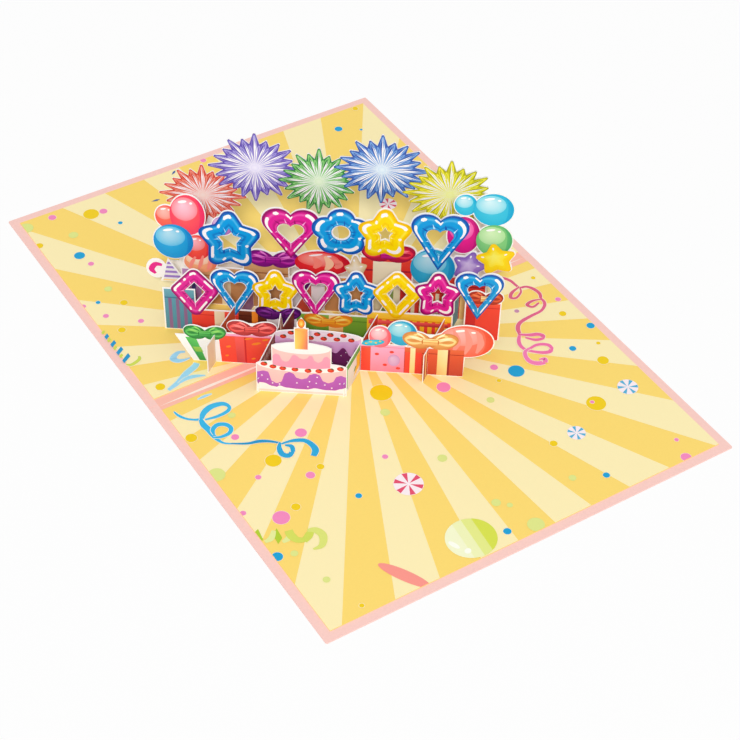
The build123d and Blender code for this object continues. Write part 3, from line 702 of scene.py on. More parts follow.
def lay_tube(printed, material, x, z, outer, inner):
    """outer and inner: reach by angle, as lists."""
    def ring(share):
        loop = []
        for k in range(directions):
            angle = 2 * pi * k / directions
            reach = outer[k] + (inner[k] - outer[k]) * share
            loop.append((x + reach * cos(angle), z + reach * sin(angle)))
        return loop

    printed.lay(material, [(ring(share), tone) for share, tone in tube_profile])
    wrinkles = [[], []]
    root, crest = ring(wrinkle_root), ring(wrinkle_crest)
    for step, spot in enumerate(wrinkle_spots):
        corners = [root[spot - 1], root[spot + 1], crest[(spot + step % 3) % directions]]
        wrinkles[step % 2].append(plain(corners, 1.0 - step % 2))
    for group in wrinkles:
        printed.lay(material, *group)
    near, middle, far = ring(glint_near), ring(glint_middle), ring(glint_far)
    glints = []
    for start, stop in glint_spans:
        glints.append([([middle[start]] + near[start + 1:stop] + [middle[stop]], 0.5),
                       ([middle[start]] + far[start + 1:stop] + [middle[stop]], 0.5)])
    printed.lay(glint_ink, *glints, closed=False)


def sweep(reach):
    return [reach(2 * pi * k / directions) for k in range(directions)]


def tube_between(printed, material, x, z, corners, apothem, tube):
    bend = tube / 2
    opening = 1 - (bend - opening_margin) / apothem
    lay_tube(printed, material, x, z,
             sweep(lambda angle: blunt_reach(corners, bend, angle)),
             sweep(lambda angle: opening * reach_of(corners, angle)))


def star_corners(width, height, inner_share, turn=0.0):
    corners = []
    for step in range(2 * star_tips):
        reach = 1 if step % 2 == 0 else inner_share
        angle = pi / 2 + pi * step / star_tips + turn
        corners.append((width / 2 * reach * cos(angle), height / 2 * reach * sin(angle)))
    return corners


def star_tube(printed, material, x, z, width, height, tube):
    wide, tall = width - tube, height - tube
    corners = star_corners(wide, tall, tube_star_share)
    tube_between(printed, material, x, z, corners, (wide + tall) / 4 * star_apothem_share, tube)


def diamond_tube(printed, material, x, z, width, height, tube):
    wide, tall = (width - tube) / 2, (height - tube) / 2
    girdle = tall * diamond_girdle_share
    corners = [(0, -tall), (wide, girdle), (0, tall), (-wide, girdle)]
    tube_between(printed, material, x, z, corners, wide * tall / hypot(wide, tall), tube)


def heart_outline(width, height):
    radius = width * heart_lobe_share
    cx, cz = width / 2 - radius, height / 2 - radius
    dx, dz = -cx, -height / 2 - cz
    start = atan2(dz, dx) + acos(radius / hypot(dx, dz))
    stop = pi - acos(cx / radius)
    lobe = []
    for k in range(heart_lobe_steps + 1):
        angle = start + (stop - start) * k / heart_lobe_steps
        lobe.append((cx + radius * cos(angle), cz + radius * sin(angle)))
    return [(0, -height / 2)] + lobe + [(-x, z) for x, z in lobe[-2::-1]]


def heart_tube(printed, material, x, z, width, height, tube):
    outer = heart_outline(width, height)
    shrink = tube - opening_margin
    inner = heart_outline(width - 2 * shrink, height - 2 * shrink * heart_opening_share)
    lay_tube(printed, material, x, z,
             sweep(lambda angle: reach_of(outer, angle)), sweep(lambda angle: reach_of(inner, angle)))


def flower_tube(printed, material, x, z, width, height, tube):
    size = (width + height) / 2
    ring, petal = size * petal_ring_share, size * petal_share

    def petal_reach(angle):
        best = ring
        for k in range(star_tips):
            lean = angle - pi / 2 - 2 * pi * k / star_tips
            inside = petal * petal - (ring * sin(lean)) ** 2
            if inside > 0:
                best = max(best, ring * cos(lean) + sqrt(inside))
        return best

    hole = size * flower_hole_share + opening_margin
    lay_tube(printed, material, x, z, sweep(petal_reach), sweep(lambda angle: hole))


# Balloons, gifts and bows
# The motifs that several sheets share, printed in flat layers: a body, a deeper side,
# a soft pale light and a white glint.
balloon_inks = ink_set("balloon", {
    "rose": ((255, 205, 222), (252, 84, 92), (236, 34, 98)),
    "coral": ((255, 190, 180), (252, 104, 84), (236, 66, 70)),
    "blue": ((182, 224, 240), (24, 166, 222), (0, 126, 200)),
    "orange": ((255, 186, 196), (250, 84, 66), (224, 44, 60)),
    "peach": ((255, 236, 214), (252, 180, 128), (236, 120, 90)),
    "lilac": ((230, 200, 232), (196, 134, 192), (156, 88, 168)),
    "sky": ((214, 242, 250), (58, 196, 226), (0, 164, 212)),
    "magenta": ((255, 170, 214), (232, 30, 140), (176, 10, 112)),
    "green": ((214, 242, 190), (140, 210, 130), (70, 170, 104)),
    "teal": ((186, 230, 244), (52, 178, 220), (0, 140, 196)),
    "red": ((255, 176, 160), (240, 44, 48), (196, 10, 40)),
    "yellow": ((255, 246, 110), (255, 226, 24), (248, 192, 16)),
    "purple": ((214, 198, 238), (156, 124, 204), (112, 74, 170)),
    "cream": ((252, 242, 222), (240, 222, 184), (206, 170, 120)),
    "salmon": ((242, 178, 178), (240, 122, 104), (230, 72, 48)),
    "pink": ((255, 214, 226), (248, 130, 150), (236, 86, 100)),
})
gift_inks = ink_set("wrapping", {
    "red": ((250, 118, 88), (236, 68, 52), (200, 36, 42)),
    "brick": ((238, 132, 84), (220, 86, 54), (150, 38, 28)),
    "crimson": ((240, 96, 70), (224, 52, 44), (164, 24, 50)),
    "tan": ((232, 192, 140), (206, 150, 96), (156, 100, 60)),
    "cream": ((252, 244, 220), (236, 222, 186), (206, 176, 130)),
    "lilac": ((206, 164, 206), (174, 122, 178), (120, 74, 140)),
    "navy": ((100, 100, 170), (60, 60, 128), (34, 34, 86)),
    "teal": ((130, 184, 198), (84, 148, 168), (56, 112, 140)),
    "mauve": ((170, 134, 172), (134, 98, 140), (98, 66, 108)),
    "green": ((160, 204, 90), (116, 168, 50), (66, 124, 40)),
    "orange": ((252, 190, 80), (246, 142, 40), (220, 90, 30)),
    "yellow": ((255, 232, 110), (250, 200, 40), (226, 150, 20)),
    "white": ((252, 252, 252), (234, 232, 234), (196, 190, 200)),
    "pink": ((252, 206, 226), (246, 168, 206), (236, 84, 92)),
    "plum": ((150, 70, 176), (104, 20, 124), (60, 6, 80)),
    "violet": ((236, 130, 214), (176, 24, 160), (104, 10, 110)),
    "gold": ((255, 244, 206), (252, 214, 140), (204, 116, 50)),
    "amber": ((255, 236, 130), (250, 184, 44), (226, 110, 24)),
    "lime": ((150, 220, 110), (88, 190, 92), (26, 112, 48)),
    "coral": ((255, 140, 136), (240, 88, 84), (150, 36, 44)),
    "rose": ((255, 130, 150), (230, 34, 66), (150, 10, 60)),
    "brown": ((150, 90, 60), (98, 40, 24), (60, 18, 14)),
    "magenta": ((248, 120, 200), (214, 30, 140), (140, 6, 100)),
    "maroon": ((170, 70, 70), (120, 30, 44), (74, 12, 28)),
})


balloon_edge = 0.485
balloon_shade = 0.13
puffy_star_share = 0.56
star_rounding_share = 0.09
bow_lean = radians(20)
drop_steps = 12
stripe_pitch, stripe_share = 3.4, 0.45
lid_shadow_foot, lid_shadow_share = 1.14, 0.14
cross_left_share, cross_share = 0.4, 0.18


def balloon(printed, colour, x, z, width, height):
    """A blown up balloon with a deeper right side, a soft light and two glints."""
    paint = balloon_inks[colour]
    domed(printed, paint, oval(x, z, width, height), light=(-0.1, -0.12), rim=0.75, top=0.45)
    edge, inside = [], []
    for degrees in range(-75, 71, 5):
        angle = radians(degrees)
        rise = z + height * balloon_edge * sin(angle)
        edge.append((x + width * balloon_edge * cos(angle), rise))
        inside.append((x + width * (balloon_edge - balloon_shade * cos(1.2 * angle)) * cos(angle), rise))
    band(printed, paint, edge, inside, (1.0, 0.85))
    domed(printed, paint, oval(x - width * 0.07, z + height * 0.15, width * 0.74, height * 0.58),
          light=(-0.08, 0.18), rim=0.3, top=0.02)
    printed.lay(glint_ink, even(oval(x - width * 0.12, z + height * 0.33, width * 0.26, height * 0.07,
                                     turn=0.2, count=14)),
                even(oval(x + width * 0.12, z + height * 0.3, width * 0.09, height * 0.06, count=10)))


def gift(printed, colour, x, foot, width, height, cross=None, side_share=0.0, lid_share=0.2,
         stripes=None):
    """A wrapped box: its front, a darker side at the left, a lid, stripes and an upright ribbon."""
    paper = gift_inks[colour]
    left, lid = x - width / 2, height * lid_share
    front, front_width = left + width * side_share, width * (1 - side_share)
    block(printed, paper, front, foot, front_width, height - lid, [0.7, 0.75, 0.5, 0.45])
    if side_share:
        block(printed, paper, left, foot, width * side_share, height - lid, 1.0)
    if stripes:
        count = max(2, round(front_width / stripe_pitch))
        pitch = front_width / count
        printed.lay(gift_inks[stripes], *[
            plain(bar(front + pitch * (k + 0.5), foot, pitch * stripe_share, height - lid))
            for k in range(count)])
    block(printed, paper, left, foot + height - lid * lid_shadow_foot, width, lid * lid_shadow_share, 1.0)
    block(printed, paper, left, foot + height - lid, width, lid, [0.45, 0.5, 0.3, 0.25])
    if cross:
        block(printed, gift_inks[cross], front + front_width * cross_left_share, foot,
              front_width * cross_share, height, [0.6, 0.8, 0.5, 0.3])


def drop(start, end, width):
    """A drop that starts in a point and is widest near its round end."""
    nx, nz = half_across(start, end, width)
    right, left = [], []
    for k in range(1, drop_steps):
        share = sin(pi / 2 * k / drop_steps)
        wide = sin(pi * share ** 1.6) ** 0.7
        x, z = between(start, end, share)
        right.append((x - nx * wide, z - nz * wide))
        left.append((x + nx * wide, z + nz * wide))
    return [start] + right + [end] + left[::-1]


def bow(printed, colour, x, z, width, height, knot=None):
    """Loops of ribbon that spread from the knot, and the ribbon rolled round them."""
    paint = gift_inks[colour]
    for side in (-1, 1):
        domed(printed, paint, oval(x + side * width * 0.26, z, width * 0.62, height * 0.92,
                                   side * bow_lean, count=24),
              light=(side * 0.05, 0.3), rim=0.95, top=0.62)
        # two loops one over the other, each with the dark of its inside and a light along its top
        for out, rise, wide in ((0.34, 0.34, 0.42), (0.52, 0.06, 0.56)):
            start = (x + side * width * 0.04, z - height * 0.08)
            end = (x + side * width * out, z + height * rise)
            domed(printed, paint, drop(start, end, height * wide), light=(side * 0.1, 0.25), rim=0.62,
                  top=0.05)
            inside = towards(drop(start, end, height * wide * 0.55), end, 0.3)
            domed(printed, paint, [(px - side * width * 0.05, pz - height * 0.05) for px, pz in inside],
                  light=(0, 0), rim=0.75, top=0.9)
            slant(printed, paint, stroke(
                (x + side * width * 0.1, z + height * (rise * 0.3 + 0.06)),
                (x + side * width * out * 0.86, z + height * (rise + wide * 0.32)),
                height * 0.1, belly=0.7), 0.0)
    patch(printed, paint, oval(x, z - height * 0.06, width * 0.36, height * 0.5, count=20), tone=1.0)
    roll = gift_inks[knot or colour]
    block(printed, roll, x - width * 0.15, z - height * 0.26, width * 0.3, height * 0.4,
          [0.75, 0.8, 0.35, 0.2])
    for share in (-0.1, 0.05):
        block(printed, roll, x - width * 0.15, z + height * share, width * 0.3, height * 0.035, 0.9)


def puffy_star(printed, colour, x, z, width, height, turn):
    """A star balloon with blunt tips, a soft light and a glint on three of the tips."""
    paint = balloon_inks[colour]
    rounding = width * star_rounding_share
    corners = star_corners(width - 2 * rounding, height - 2 * rounding, puffy_star_share, turn)
    points = []
    for k in range(0, directions, 2):
        angle = 2 * pi * k / directions
        reach = blunt_reach(corners, rounding, angle)
        points.append((x + reach * cos(angle), z + reach * sin(angle)))
    domed(printed, paint, points, light=(-0.1, 0.12), rim=0.85, top=0.2)
    domed(printed, paint, towards(points, (x - width * 0.04, z + height * 0.05), 0.42),
          light=(-0.1, 0.2), rim=0.4, top=0.0)
    glints = []
    for k in (0, 1, 4):
        angle = pi / 2 + turn + 2 * pi * k / star_tips
        glints.append(even(oval(x + width * 0.3 * cos(angle) - 0.6, z + height * 0.32 * sin(angle) + 0.3,
                                1.5, 0.8, turn=angle, count=10)))
    printed.lay(glint_ink, *glints)


# Fireworks arch
# The rear sheet: five bursts of pointed fingers on two legs, over a low band along the foot.
# Each burst is printed pale at its heart, with white streaks, dark strokes between them and dark tips.
foot_line = 0.3
arch_plane = standing("fireworks_arch", along)
arch_left, arch_length, arch_height = -86.0, 148.0, 87.0
burst_half = 0.68
burst_root_share = 0.72
heart_size = 3.6
burst_tones = [(0, 1.0), (0.05, 0.9), (0.16, 0.8), (0.3, 0.6), (0.5, 0.45), (0.72, 0.3), (0.9, 0.0)]
burst_reach_shares = [
    1.0, 0.86, 0.96, 0.84, 0.93, 1.02, 0.9, 0.98, 0.82, 0.94,
    1.0, 0.84, 0.97, 0.88, 0.92, 1.02, 0.85, 0.96, 0.9, 0.83,
]
# colour, then the middle's place and the size, as shares of the sheet's length and height
bursts = [
    ("coral", 0.125, 0.555, 0.25, 0.37),
    ("violet", 0.284, 0.747, 0.266, 0.41),
    ("green", 0.473, 0.683, 0.23, 0.4),
    ("blue", 0.658, 0.782, 0.27, 0.41),
    ("yellow", 0.861, 0.65, 0.268, 0.41),
]
burst_inks = ink_set("burst", {
    "coral": ((255, 238, 226), (242, 132, 108), (206, 62, 48)),
    "violet": ((244, 240, 255), (150, 140, 214), (84, 58, 164)),
    "green": ((240, 255, 224), (126, 206, 108), (22, 106, 50)),
    "blue": ((232, 246, 255), (100, 152, 220), (42, 70, 160)),
    "yellow": ((255, 255, 176), (250, 238, 44), (170, 164, 24)),
})
leg_places, leg_width, leg_height = (-71.2, 51.6), 17, 51
foot_band_height = 8.8
arch_margin = 0.5


def burst(printed, paint, x, z, width, height):
    """One firework: its fingers, then the dark strokes, the white streaks and its pale heart."""
    count = len(burst_reach_shares)
    outline, fingers, streaks, darks = [], [], [], []

    def out(reach, angle):
        return x + width / 2 * reach * cos(angle), z + height / 2 * reach * sin(angle)

    for step, reach in enumerate(burst_reach_shares):
        angle = pi / 2 + 2 * pi * step / count
        valley = angle + pi / count
        tip = out(reach, angle)
        ahead = (cos(angle) * burst_half, sin(angle) * burst_half)
        for side, forward in ((-1, -0.2), (-0.6, 0.75), (0.6, 0.75), (1, -0.2)):
            outline.append((tip[0] - ahead[1] * side + ahead[0] * forward,
                            tip[1] + ahead[0] * side + ahead[1] * forward))
        outline.append(out(burst_root_share * 0.99, valley))
        for start, end, wide in ((out(0.2, valley), out(0.7, valley), 1.7),
                                 (out(0.3, angle), out(reach + 0.01, angle), 2.2)):
            fingers.append([(drop(start, end, wide), 0.62),
                            (towards(drop(start, end, wide * 0.4), start, 0.1), 0.3)])
        # the streaks' starts and ends vary from finger to finger
        lean = 0.06 * sin(2.4 * step)
        streaks += [
            stroke(out(0.06, angle + lean), out((0.97 - 0.12 * (step % 2)) * reach, angle), 0.68),
            stroke(out(0.1, valley), out(0.52 + 0.05 * (step % 4), valley + lean), 0.56),
            stroke(out(0.34 + 0.06 * (step % 3), angle - 0.08), out(0.78 * reach, angle - 0.045), 0.42,
                   belly=0.7),
        ]
        darks.append(stroke(out(0.3, angle + 0.08), out(0.92 * reach, angle + 0.035), 0.55, belly=0.7))
    loops = [(towards(outline, (x, z), share), tone) for share, tone in burst_tones]
    printed.lay(paint, loops + [([(x, z)], 0.0)])
    printed.lay(paint, *fingers)
    printed.lay(paint, *[plain(points, 1.0) for points in darks])
    printed.lay(glint_ink, *[plain(points) for points in streaks])
    domed(printed, paint, oval(x, z, heart_size, heart_size, count=20), light=(0, 0), rim=0.08, top=0.0)


arch_print = Print()
for centre in leg_places:
    block(arch_print, gift_inks["white"], centre - leg_width / 2, foot_line, leg_width, leg_height,
          [0.1, 0.1, 0.0, 0.0])
block(arch_print, gift_inks["white"], arch_left + arch_margin, foot_line,
      arch_length - 2 * arch_margin, foot_band_height, 0.1)
for colour, x_share, z_share, width_share, height_share in bursts:
    burst(arch_print, burst_inks[colour], arch_left + x_share * arch_length, z_share * arch_height,
          width_share * arch_length, height_share * arch_height)
arch_print.press("fireworks_print", arch_plane)

# First row
# Five larger foil figures with balloons and stars at both ends, over a line of gifts.
# A striped party hat and a curl of ribbon stick out at the left end.
first_plane = standing("first_row", along)
first_left, first_length, first_height = -92.0, 164.0, 72.0
first_tube = 6.8
# shape and colour, then place and size as shares of the sheet's length and height
first_figures = [
    (star_tube, "blue", 0.233, 0.526, 0.17, 0.458),
    (heart_tube, "magenta", 0.398, 0.61, 0.152, 0.38),
    (flower_tube, "blue", 0.532, 0.642, 0.14, 0.4),
    (star_tube, "yellow", 0.649, 0.647, 0.146, 0.39),
    (heart_tube, "blue", 0.794, 0.61, 0.152, 0.43),
]
# colour, x, z, width and height
first_balloons = [
    ("coral", -81, 49.5, 9.5, 12),
    ("rose", -71.8, 50.8, 15.1, 22),
    ("lilac", -56.6, 45.9, 9, 10),
    ("peach", -67.1, 24.5, 14.4, 11.5),
    ("orange", -68.2, 33, 11.5, 13.7),
    ("blue", -78.6, 35.7, 17.4, 19),
    ("sky", 48.5, 65.5, 9.5, 11),
    ("sky", 60.5, 63.7, 17.1, 17),
    ("magenta", 48.4, 48.9, 13.9, 20),
    ("green", 61.8, 46.9, 15.4, 17),
    ("teal", 35.9, 29.2, 19.5, 21.5),
    ("red", -12.8, 28.2, 24.4, 13.5),
]
first_stars = [
    ("purple", 51.7, 31.5, 15.1, 17, -0.25),
    ("yellow", 63.3, 36.5, 17.5, 17.7, 0.2),
    ("cream", 2.1, 25.2, 10.2, 17, 0.1),
]
# paper, x, width, height, ribbon and stripes
first_gifts = [
    ("lilac", -70.7, 9.8, 20.2, "navy", None),
    ("tan", -55.9, 23, 21.6, "cream", None),
    ("tan", -37.9, 19.7, 25.9, None, None),
    ("white", -19.8, 19.7, 18.7, "plum", None),
    ("tan", -1.8, 19.7, 20.2, "orange", None),
    ("crimson", 15.6, 22.5, 33.1, None, None),
    ("red", 34.3, 18, 18.7, None, "cream"),
    ("crimson", 50.7, 18, 24.5, "gold", None),
]
first_print = Print()
bleed = 0.15
for colour, x, width, height, cross, stripes in first_gifts:
    gift(first_print, colour, x, foot_line, width, height - foot_line, cross=cross, stripes=stripes)
bow(first_print, "violet", -34.8, 28.8, 20.5, 10)
block(first_print, gift_inks["cream"], 9.6, foot_line, 12.4, 31, [0.7, 0.6, 0.2, 0.2])
bow(first_print, "rose", 16.2, 36, 21.3, 10, knot="magenta")
for colour, x, z, width, height in first_balloons:
    balloon(first_print, colour, x, z, width + 2 * bleed, height + 2 * bleed)
# the red balloon's stripes and the peach one's
for share, colour in ((-0.3, "coral"), (0.12, "peach"), (0.46, "coral")):
    x, z, rise = -12.8 + 12.2 * share, 28.2, 12 * (1 - abs(share))
    curl(first_print, balloon_inks[colour],
         [(x, z - 0.36 * rise, 1.4), (x + 1.8, z, 3.68), (x - 0.4, z + 0.4 * rise, 1.2)], 0.3)
for k in range(3):
    curl(first_print, balloon_inks["coral"], [
        (-72 + 4 * k, 20.6, 0.8), (-71 + 4 * k, 24, 1.8),
        (-69.2 + 3.4 * k, 28.4 - 0.8 * abs(k - 1), 0.8)], 0.25)
for colour, x, z, width, height, turn in first_stars:
    puffy_star(first_print, colour, x, z, width + 2 * bleed, height + 2 * bleed, turn)
for draw, colour, x_share, z_share, width_share, height_share in first_figures:
    draw(first_print, foil[colour], first_left + x_share * first_length, z_share * first_height,
         width_share * first_length + 2 * bleed, height_share * first_height + 2 * bleed,
         first_tube + 2 * bleed)
# the party hat and the curl
hat_left, hat_right, hat_tip = (-84.45, 12.6), (-74.95, 12.6), (-81.7, 24.6)


def hat_slice(low, high):
    """The part of the hat between two shares of its height."""
    return plain([between(hat_left, hat_tip, low), between(hat_right, hat_tip, low),
                  between(hat_right, hat_tip, high), between(hat_left, hat_tip, high)])


first_print.lay(gift_inks["white"], hat_slice(0, 1))
first_print.lay(balloon_inks["purple"], *[hat_slice(low, low + 0.11) for low in (0.16, 0.38, 0.6, 0.8)])
first_print.lay(gift_inks["gold"], hat_slice(0, 0.07))
curl(first_print, balloon_inks["magenta"],
     [(-84.5, 21.5, 1.4), (-87.5, 21.8, 2.4), (-89.3, 18.8, 2.6), (-87.6, 16.4, 1.2)])
first_print.press("first_row_print", first_plane)

# Second row
# Eight smaller foil figures side by side over a band of gifts, with a tall red gift at the right.
# Two bows lie over the figures' feet, and the tall red gift's bow lies behind the last heart.
second_plane = standing("second_row", along)
second_tube = 5.4
second_draws = [
    diamond_tube, heart_tube, star_tube, heart_tube, star_tube, diamond_tube, star_tube, heart_tube,
]
second_colours = ["magenta", "blue", "yellow"]
second_start, second_pitch = (-67.3, 22.3), (17.7, 1.1)
second_width, second_height = 20.6, 26
second_gifts = [
    ("teal", -74.3, 13.3, 23.5, None, "mauve"),
    ("red", -56.6, 25.2, 12, "cream", None),
    ("brown", -41, 14.8, 13.2, "orange", None),
    ("white", -27.7, 16.3, 13.2, "plum", None),
    ("green", -4.8, 35.5, 13.9, "gold", None),
    ("yellow", 27.0, 37, 17.3, None, "red"),
]
second_print = Print()
for colour, x, width, height, cross, stripes in second_gifts:
    gift(second_print, colour, x, foot_line, width, height - foot_line, cross=cross, stripes=stripes)
block(second_print, gift_inks["coral"], 9.2, 10.5, 35, 2.4, [0.6, 0.9, 0.5, 0.3])
gift(second_print, "red", 58.9, 4.9, 14.8, 21.4, side_share=0.3, lid_share=0.12)
bow(second_print, "brick", 59.6, 29.3, 13.6, 7.6, knot="gold")
for k, draw in enumerate(second_draws):
    draw(second_print, foil[second_colours[k % len(second_colours)]],
         second_start[0] + second_pitch[0] * k, second_start[1] + second_pitch[1] * k,
         second_width + 2 * bleed, second_height + 2 * bleed, second_tube + 2 * bleed)
bow(second_print, "plum", -30.7, 12.96, 18.2, 7.6)
bow(second_print, "amber", -8.6, 10.56, 19.4, 7.6)
second_print.press("second_row_print", second_plane)

# Front row of gifts
# A white gift, a red one, the cake's back tier, a pink box with balloons and a gift tied in gold.
# Two balloons look out of the pink box, and a larger one lies behind the tied gift.
front_plane = standing("front_gift_row", along)
front_print = Print()
# the white gift, which leans out to the left, with its green ribbon,
# and the red gift, with a soft pink lid, a darker ribbon and orange blotches
for colour, left, right, low, upper, tones in (
        ("white", -66, -53.7, foot_line, [(-53.7, 14.6), (-72.9, 14.6)], [0.35, 0.3, 0.0, 0.1]),
        ("white", -61.2, -53.8, foot_line, [(-54, 12.6), (-65.4, 13)], [0.6, 0.55, 0.3, 0.35]),
        ("lime", -63.4, -60.4, foot_line, [(-64.6, 13.8), (-69.2, 13.8)], [0.85, 0.75, 0.4, 0.5]),
        ("green", -64.9, -61.6, 5.4, [(-62.6, 8.2), (-66.2, 8.2)], [0.3, 0.3, 0.1, 0.1]),
        ("red", -53.6, -30.6, foot_line, [(-30.6, 17.2), (-54.7, 17.2)], [0.55, 0.7, 0.35, 0.35]),
        ("coral", -46.8, -43.4, foot_line, [(-43.6, 15.6), (-47.6, 15.6)], [0.75, 0.7, 0.45, 0.45]),
        ("red", -43.2, -42.5, foot_line, [(-42.8, 15.4), (-43.5, 15.4)], 1.0),
        ("pink", -54.5, -30.7, 15.8, [(-30.6, 17.2), (-54.7, 17.2)], [0.6, 0.75, 0.4, 0.4])):
    slant(front_print, gift_inks[colour], [(left, low), (right, low)] + upper, tones)
front_print.lay(gift_inks["orange"], *[
    even(oval(x, z, width, height, turn=0.3, count=12), 0.6) for x, z, width, height in (
        (-50.4, 9.6, 2.2, 1.2), (-38.2, 12.2, 4.4, 1.4), (-35, 5.6, 3, 1.3), (-33, 11.4, 2, 2.6),
        (-39.6, 3.2, 2, 1), (-51.2, 4.2, 1.6, 1), (-41.4, 14.9, 4, 1), (-34.2, 14.7, 3, 1))])
bow(front_print, "lime", -60.5, 16.8, 16.6, 8.1)
bow(front_print, "coral", -40, 20.7, 19.2, 8.5)
# the back tier of the cake
tier_x, tier_half, tier_rim, rim_half = -11.75, 18.9, 18.9, 3.0
cake_inks = ink_set("cake", {
    "top": ((253, 246, 245), (246, 232, 240), (230, 206, 228)),
    "plum": ((150, 66, 150), (116, 38, 104), (84, 16, 76)),
    "lilac": ((240, 206, 236), (222, 168, 218), (190, 126, 192)),
    "pink": ((250, 206, 200), (249, 184, 194), (246, 152, 184)),
    "purple": ((206, 130, 212), (182, 90, 188), (152, 62, 162)),
    # foot: a pale pink painted shade along the cake's lowest edge
    "foot": ((250, 226, 220), (232, 176, 168), (206, 140, 136)),
    "leaf": ((96, 130, 60), (50, 84, 40), (26, 46, 26)),
    "berry": ((252, 130, 90), (228, 64, 44), (176, 24, 34)),
    "flame": ((255, 226, 120), (246, 150, 44), (206, 84, 26)),
    "candle": ((255, 218, 110), (246, 168, 84), (224, 112, 110)),
})


def strawberries(printed, places, size):
    """Berries with a dark leaf at the upper right of each."""
    printed.lay(cake_inks["berry"], *[
        [(counter_clockwise(oval(x, z, size, size * 0.8, count=14)), 0.75), ([(x - size * 0.1, z)], 0.3)]
        for x, z in places])
    printed.lay(cake_inks["leaf"], *[
        even(oval(x + size * 0.22, z + size * 0.26, size * 0.5, size * 0.26, turn=-0.5, count=10))
        for x, z in places])


def rim_over(run, middle, half, level_height, dip):
    """A round tier's rim over a run. It dips in front, and a dip below 0 gives the rim behind."""
    return [(x, level_height - dip * sqrt(max(0, 1 - ((x - middle) / half) ** 2))) for x, z in run]


def icing_edge(middle, half, stops, steps=8):
    """The wavy edge of icing, through stops of share and height from the left end to the right."""
    return wave([(middle + half * share, z) for share, z in stops], steps)


block(front_print, cake_inks["plum"], tier_x - tier_half, foot_line, 2 * tier_half, tier_rim - foot_line,
      [0.8, 0.8, 0.5, 0.5])
patch(front_print, cake_inks["top"], oval(tier_x, tier_rim, 2 * tier_half, 2 * rim_half), tone=0.6)
drips = icing_edge(tier_x, tier_half, [
    (-1, 13), (-0.8, 9.5), (-0.6, 13), (-0.4, 10), (-0.2, 12.6), (0, 8.5), (0.2, 12), (0.42, 9.6),
    (0.6, 13), (0.78, 8), (0.9, 13.4), (1, 12)])
band(front_print, cake_inks["lilac"], drips, rim_over(drips, tier_x, tier_half, tier_rim, rim_half),
     (0.7, 0.3))
spots(front_print, glint_ink, [(tier_x + tier_half * share, z) for share, z in (
    (-0.85, 5), (-0.5, 7), (-0.3, 4), (0.1, 6), (0.35, 4), (0.55, 8.4), (0.66, 10.4), (0.7, 5), (0.93, 8),
    (0.87, 11))], 0.5, 0.5)
strawberries(front_print, [(tier_x + tier_half * share, tier_rim + rise) for rise, shares in (
    (1.2, (-0.6, -0.3, 0.0, 0.3, 0.6)), (-1.2, (-0.78, -0.45, -0.15, 0.15, 0.45, 0.78)))
    for share in shares], 2.9)
# the pink box: a red left side, small hearts, a soft round, and a blue hat with yellow dots
gift(front_print, "pink", 16.85, foot_line, 19.2, 15.9, side_share=0.22, lid_share=0.08)
block(front_print, gift_inks["red"], 7.4, foot_line, 4, 13.6, [0.7, 0.5, 0.3, 0.5])
domed(front_print, balloon_inks["lilac"], oval(21.6, 7.4, 5.4, 7), rim=0.4, top=0.1)
spots(front_print, gift_inks["red"], [(14.2, 10.6), (17.8, 4.4), (23.6, 2.8), (20.6, 12.2)], 2, 1.5,
      tone=0.6, count=10)
balloon(front_print, "teal", 24.65, 23.5, 12.8, 14.2)
balloon(front_print, "pink", 15.4, 20.7, 9.5, 12.4)
domed(front_print, balloon_inks["sky"], oval(12.4, 17.2, 10, 3.4, turn=0.18, count=24), rim=0.8,
      top=0.3)
spots(front_print, gift_inks["yellow"], [(9.4, 16.6), (11.4, 17.6), (13.6, 17.2), (15.4, 18.2)], 1.1, 0.8)
# the salmon balloon, and the gift tied in gold
balloon(front_print, "salmon", 52.3, 21, 23.4, 18.1)
for k in range(3):
    curl(front_print, balloon_inks["salmon"], [
        (47 + 5 * k, 13.6 + abs(k - 1), 1), (48.6 + 5 * k, 20.6, 3),
        (46.6 + 5 * k, 28.4 - abs(k - 1), 1)], 0.28)
gift(front_print, "brick", 38.95, foot_line, 25.7, 15.4, side_share=0.3, lid_share=0.18)
for colour, left, width, height, tones in (
        ("red", 26.3, 7.4, 12.6, [0.6, 0.75, 0.5, 0.4]),
        ("gold", 28.6, 2.2, 15.2, [0.6, 0.6, 0.1, 0.2]),
        ("gold", 40.4, 4.4, 15.2, [0.7, 0.6, 0.2, 0.35]),
        ("brick", 44.9, 0.8, 15.2, 1.0)):
    block(front_print, gift_inks[colour], left, foot_line, width, height, tones)
bow(front_print, "gold", 37, 20.2, 21.6, 9.9)
front_print.press("front_row_print", front_plane)

# Cake front
# The picture sheet nearest the reader: two round tiers with a candle.
# Icing runs down both tiers, strawberries lie on the lower one and a frosting foot goes round it.
cake_plane = standing("cake_front", along)
cake_print = Print()
cake_x = -16.98
lower_half, lower_rim, lower_crown, lower_dip = 19.1, 16.6, 2.1, 4.0
upper_half, upper_rim, upper_crown, upper_dip = 12.3, 27.0, 2.4, 3.6
upper_foot, upper_foot_dip = 16.6, 1.6


def height_on(run, x):
    """Height of a run of points at one place along it."""
    for a, b in zip(run, run[1:]):
        if a[0] <= x <= b[0]:
            return a[1] + (b[1] - a[1]) * (x - a[0]) / (b[0] - a[0])
    return run[-1][1]


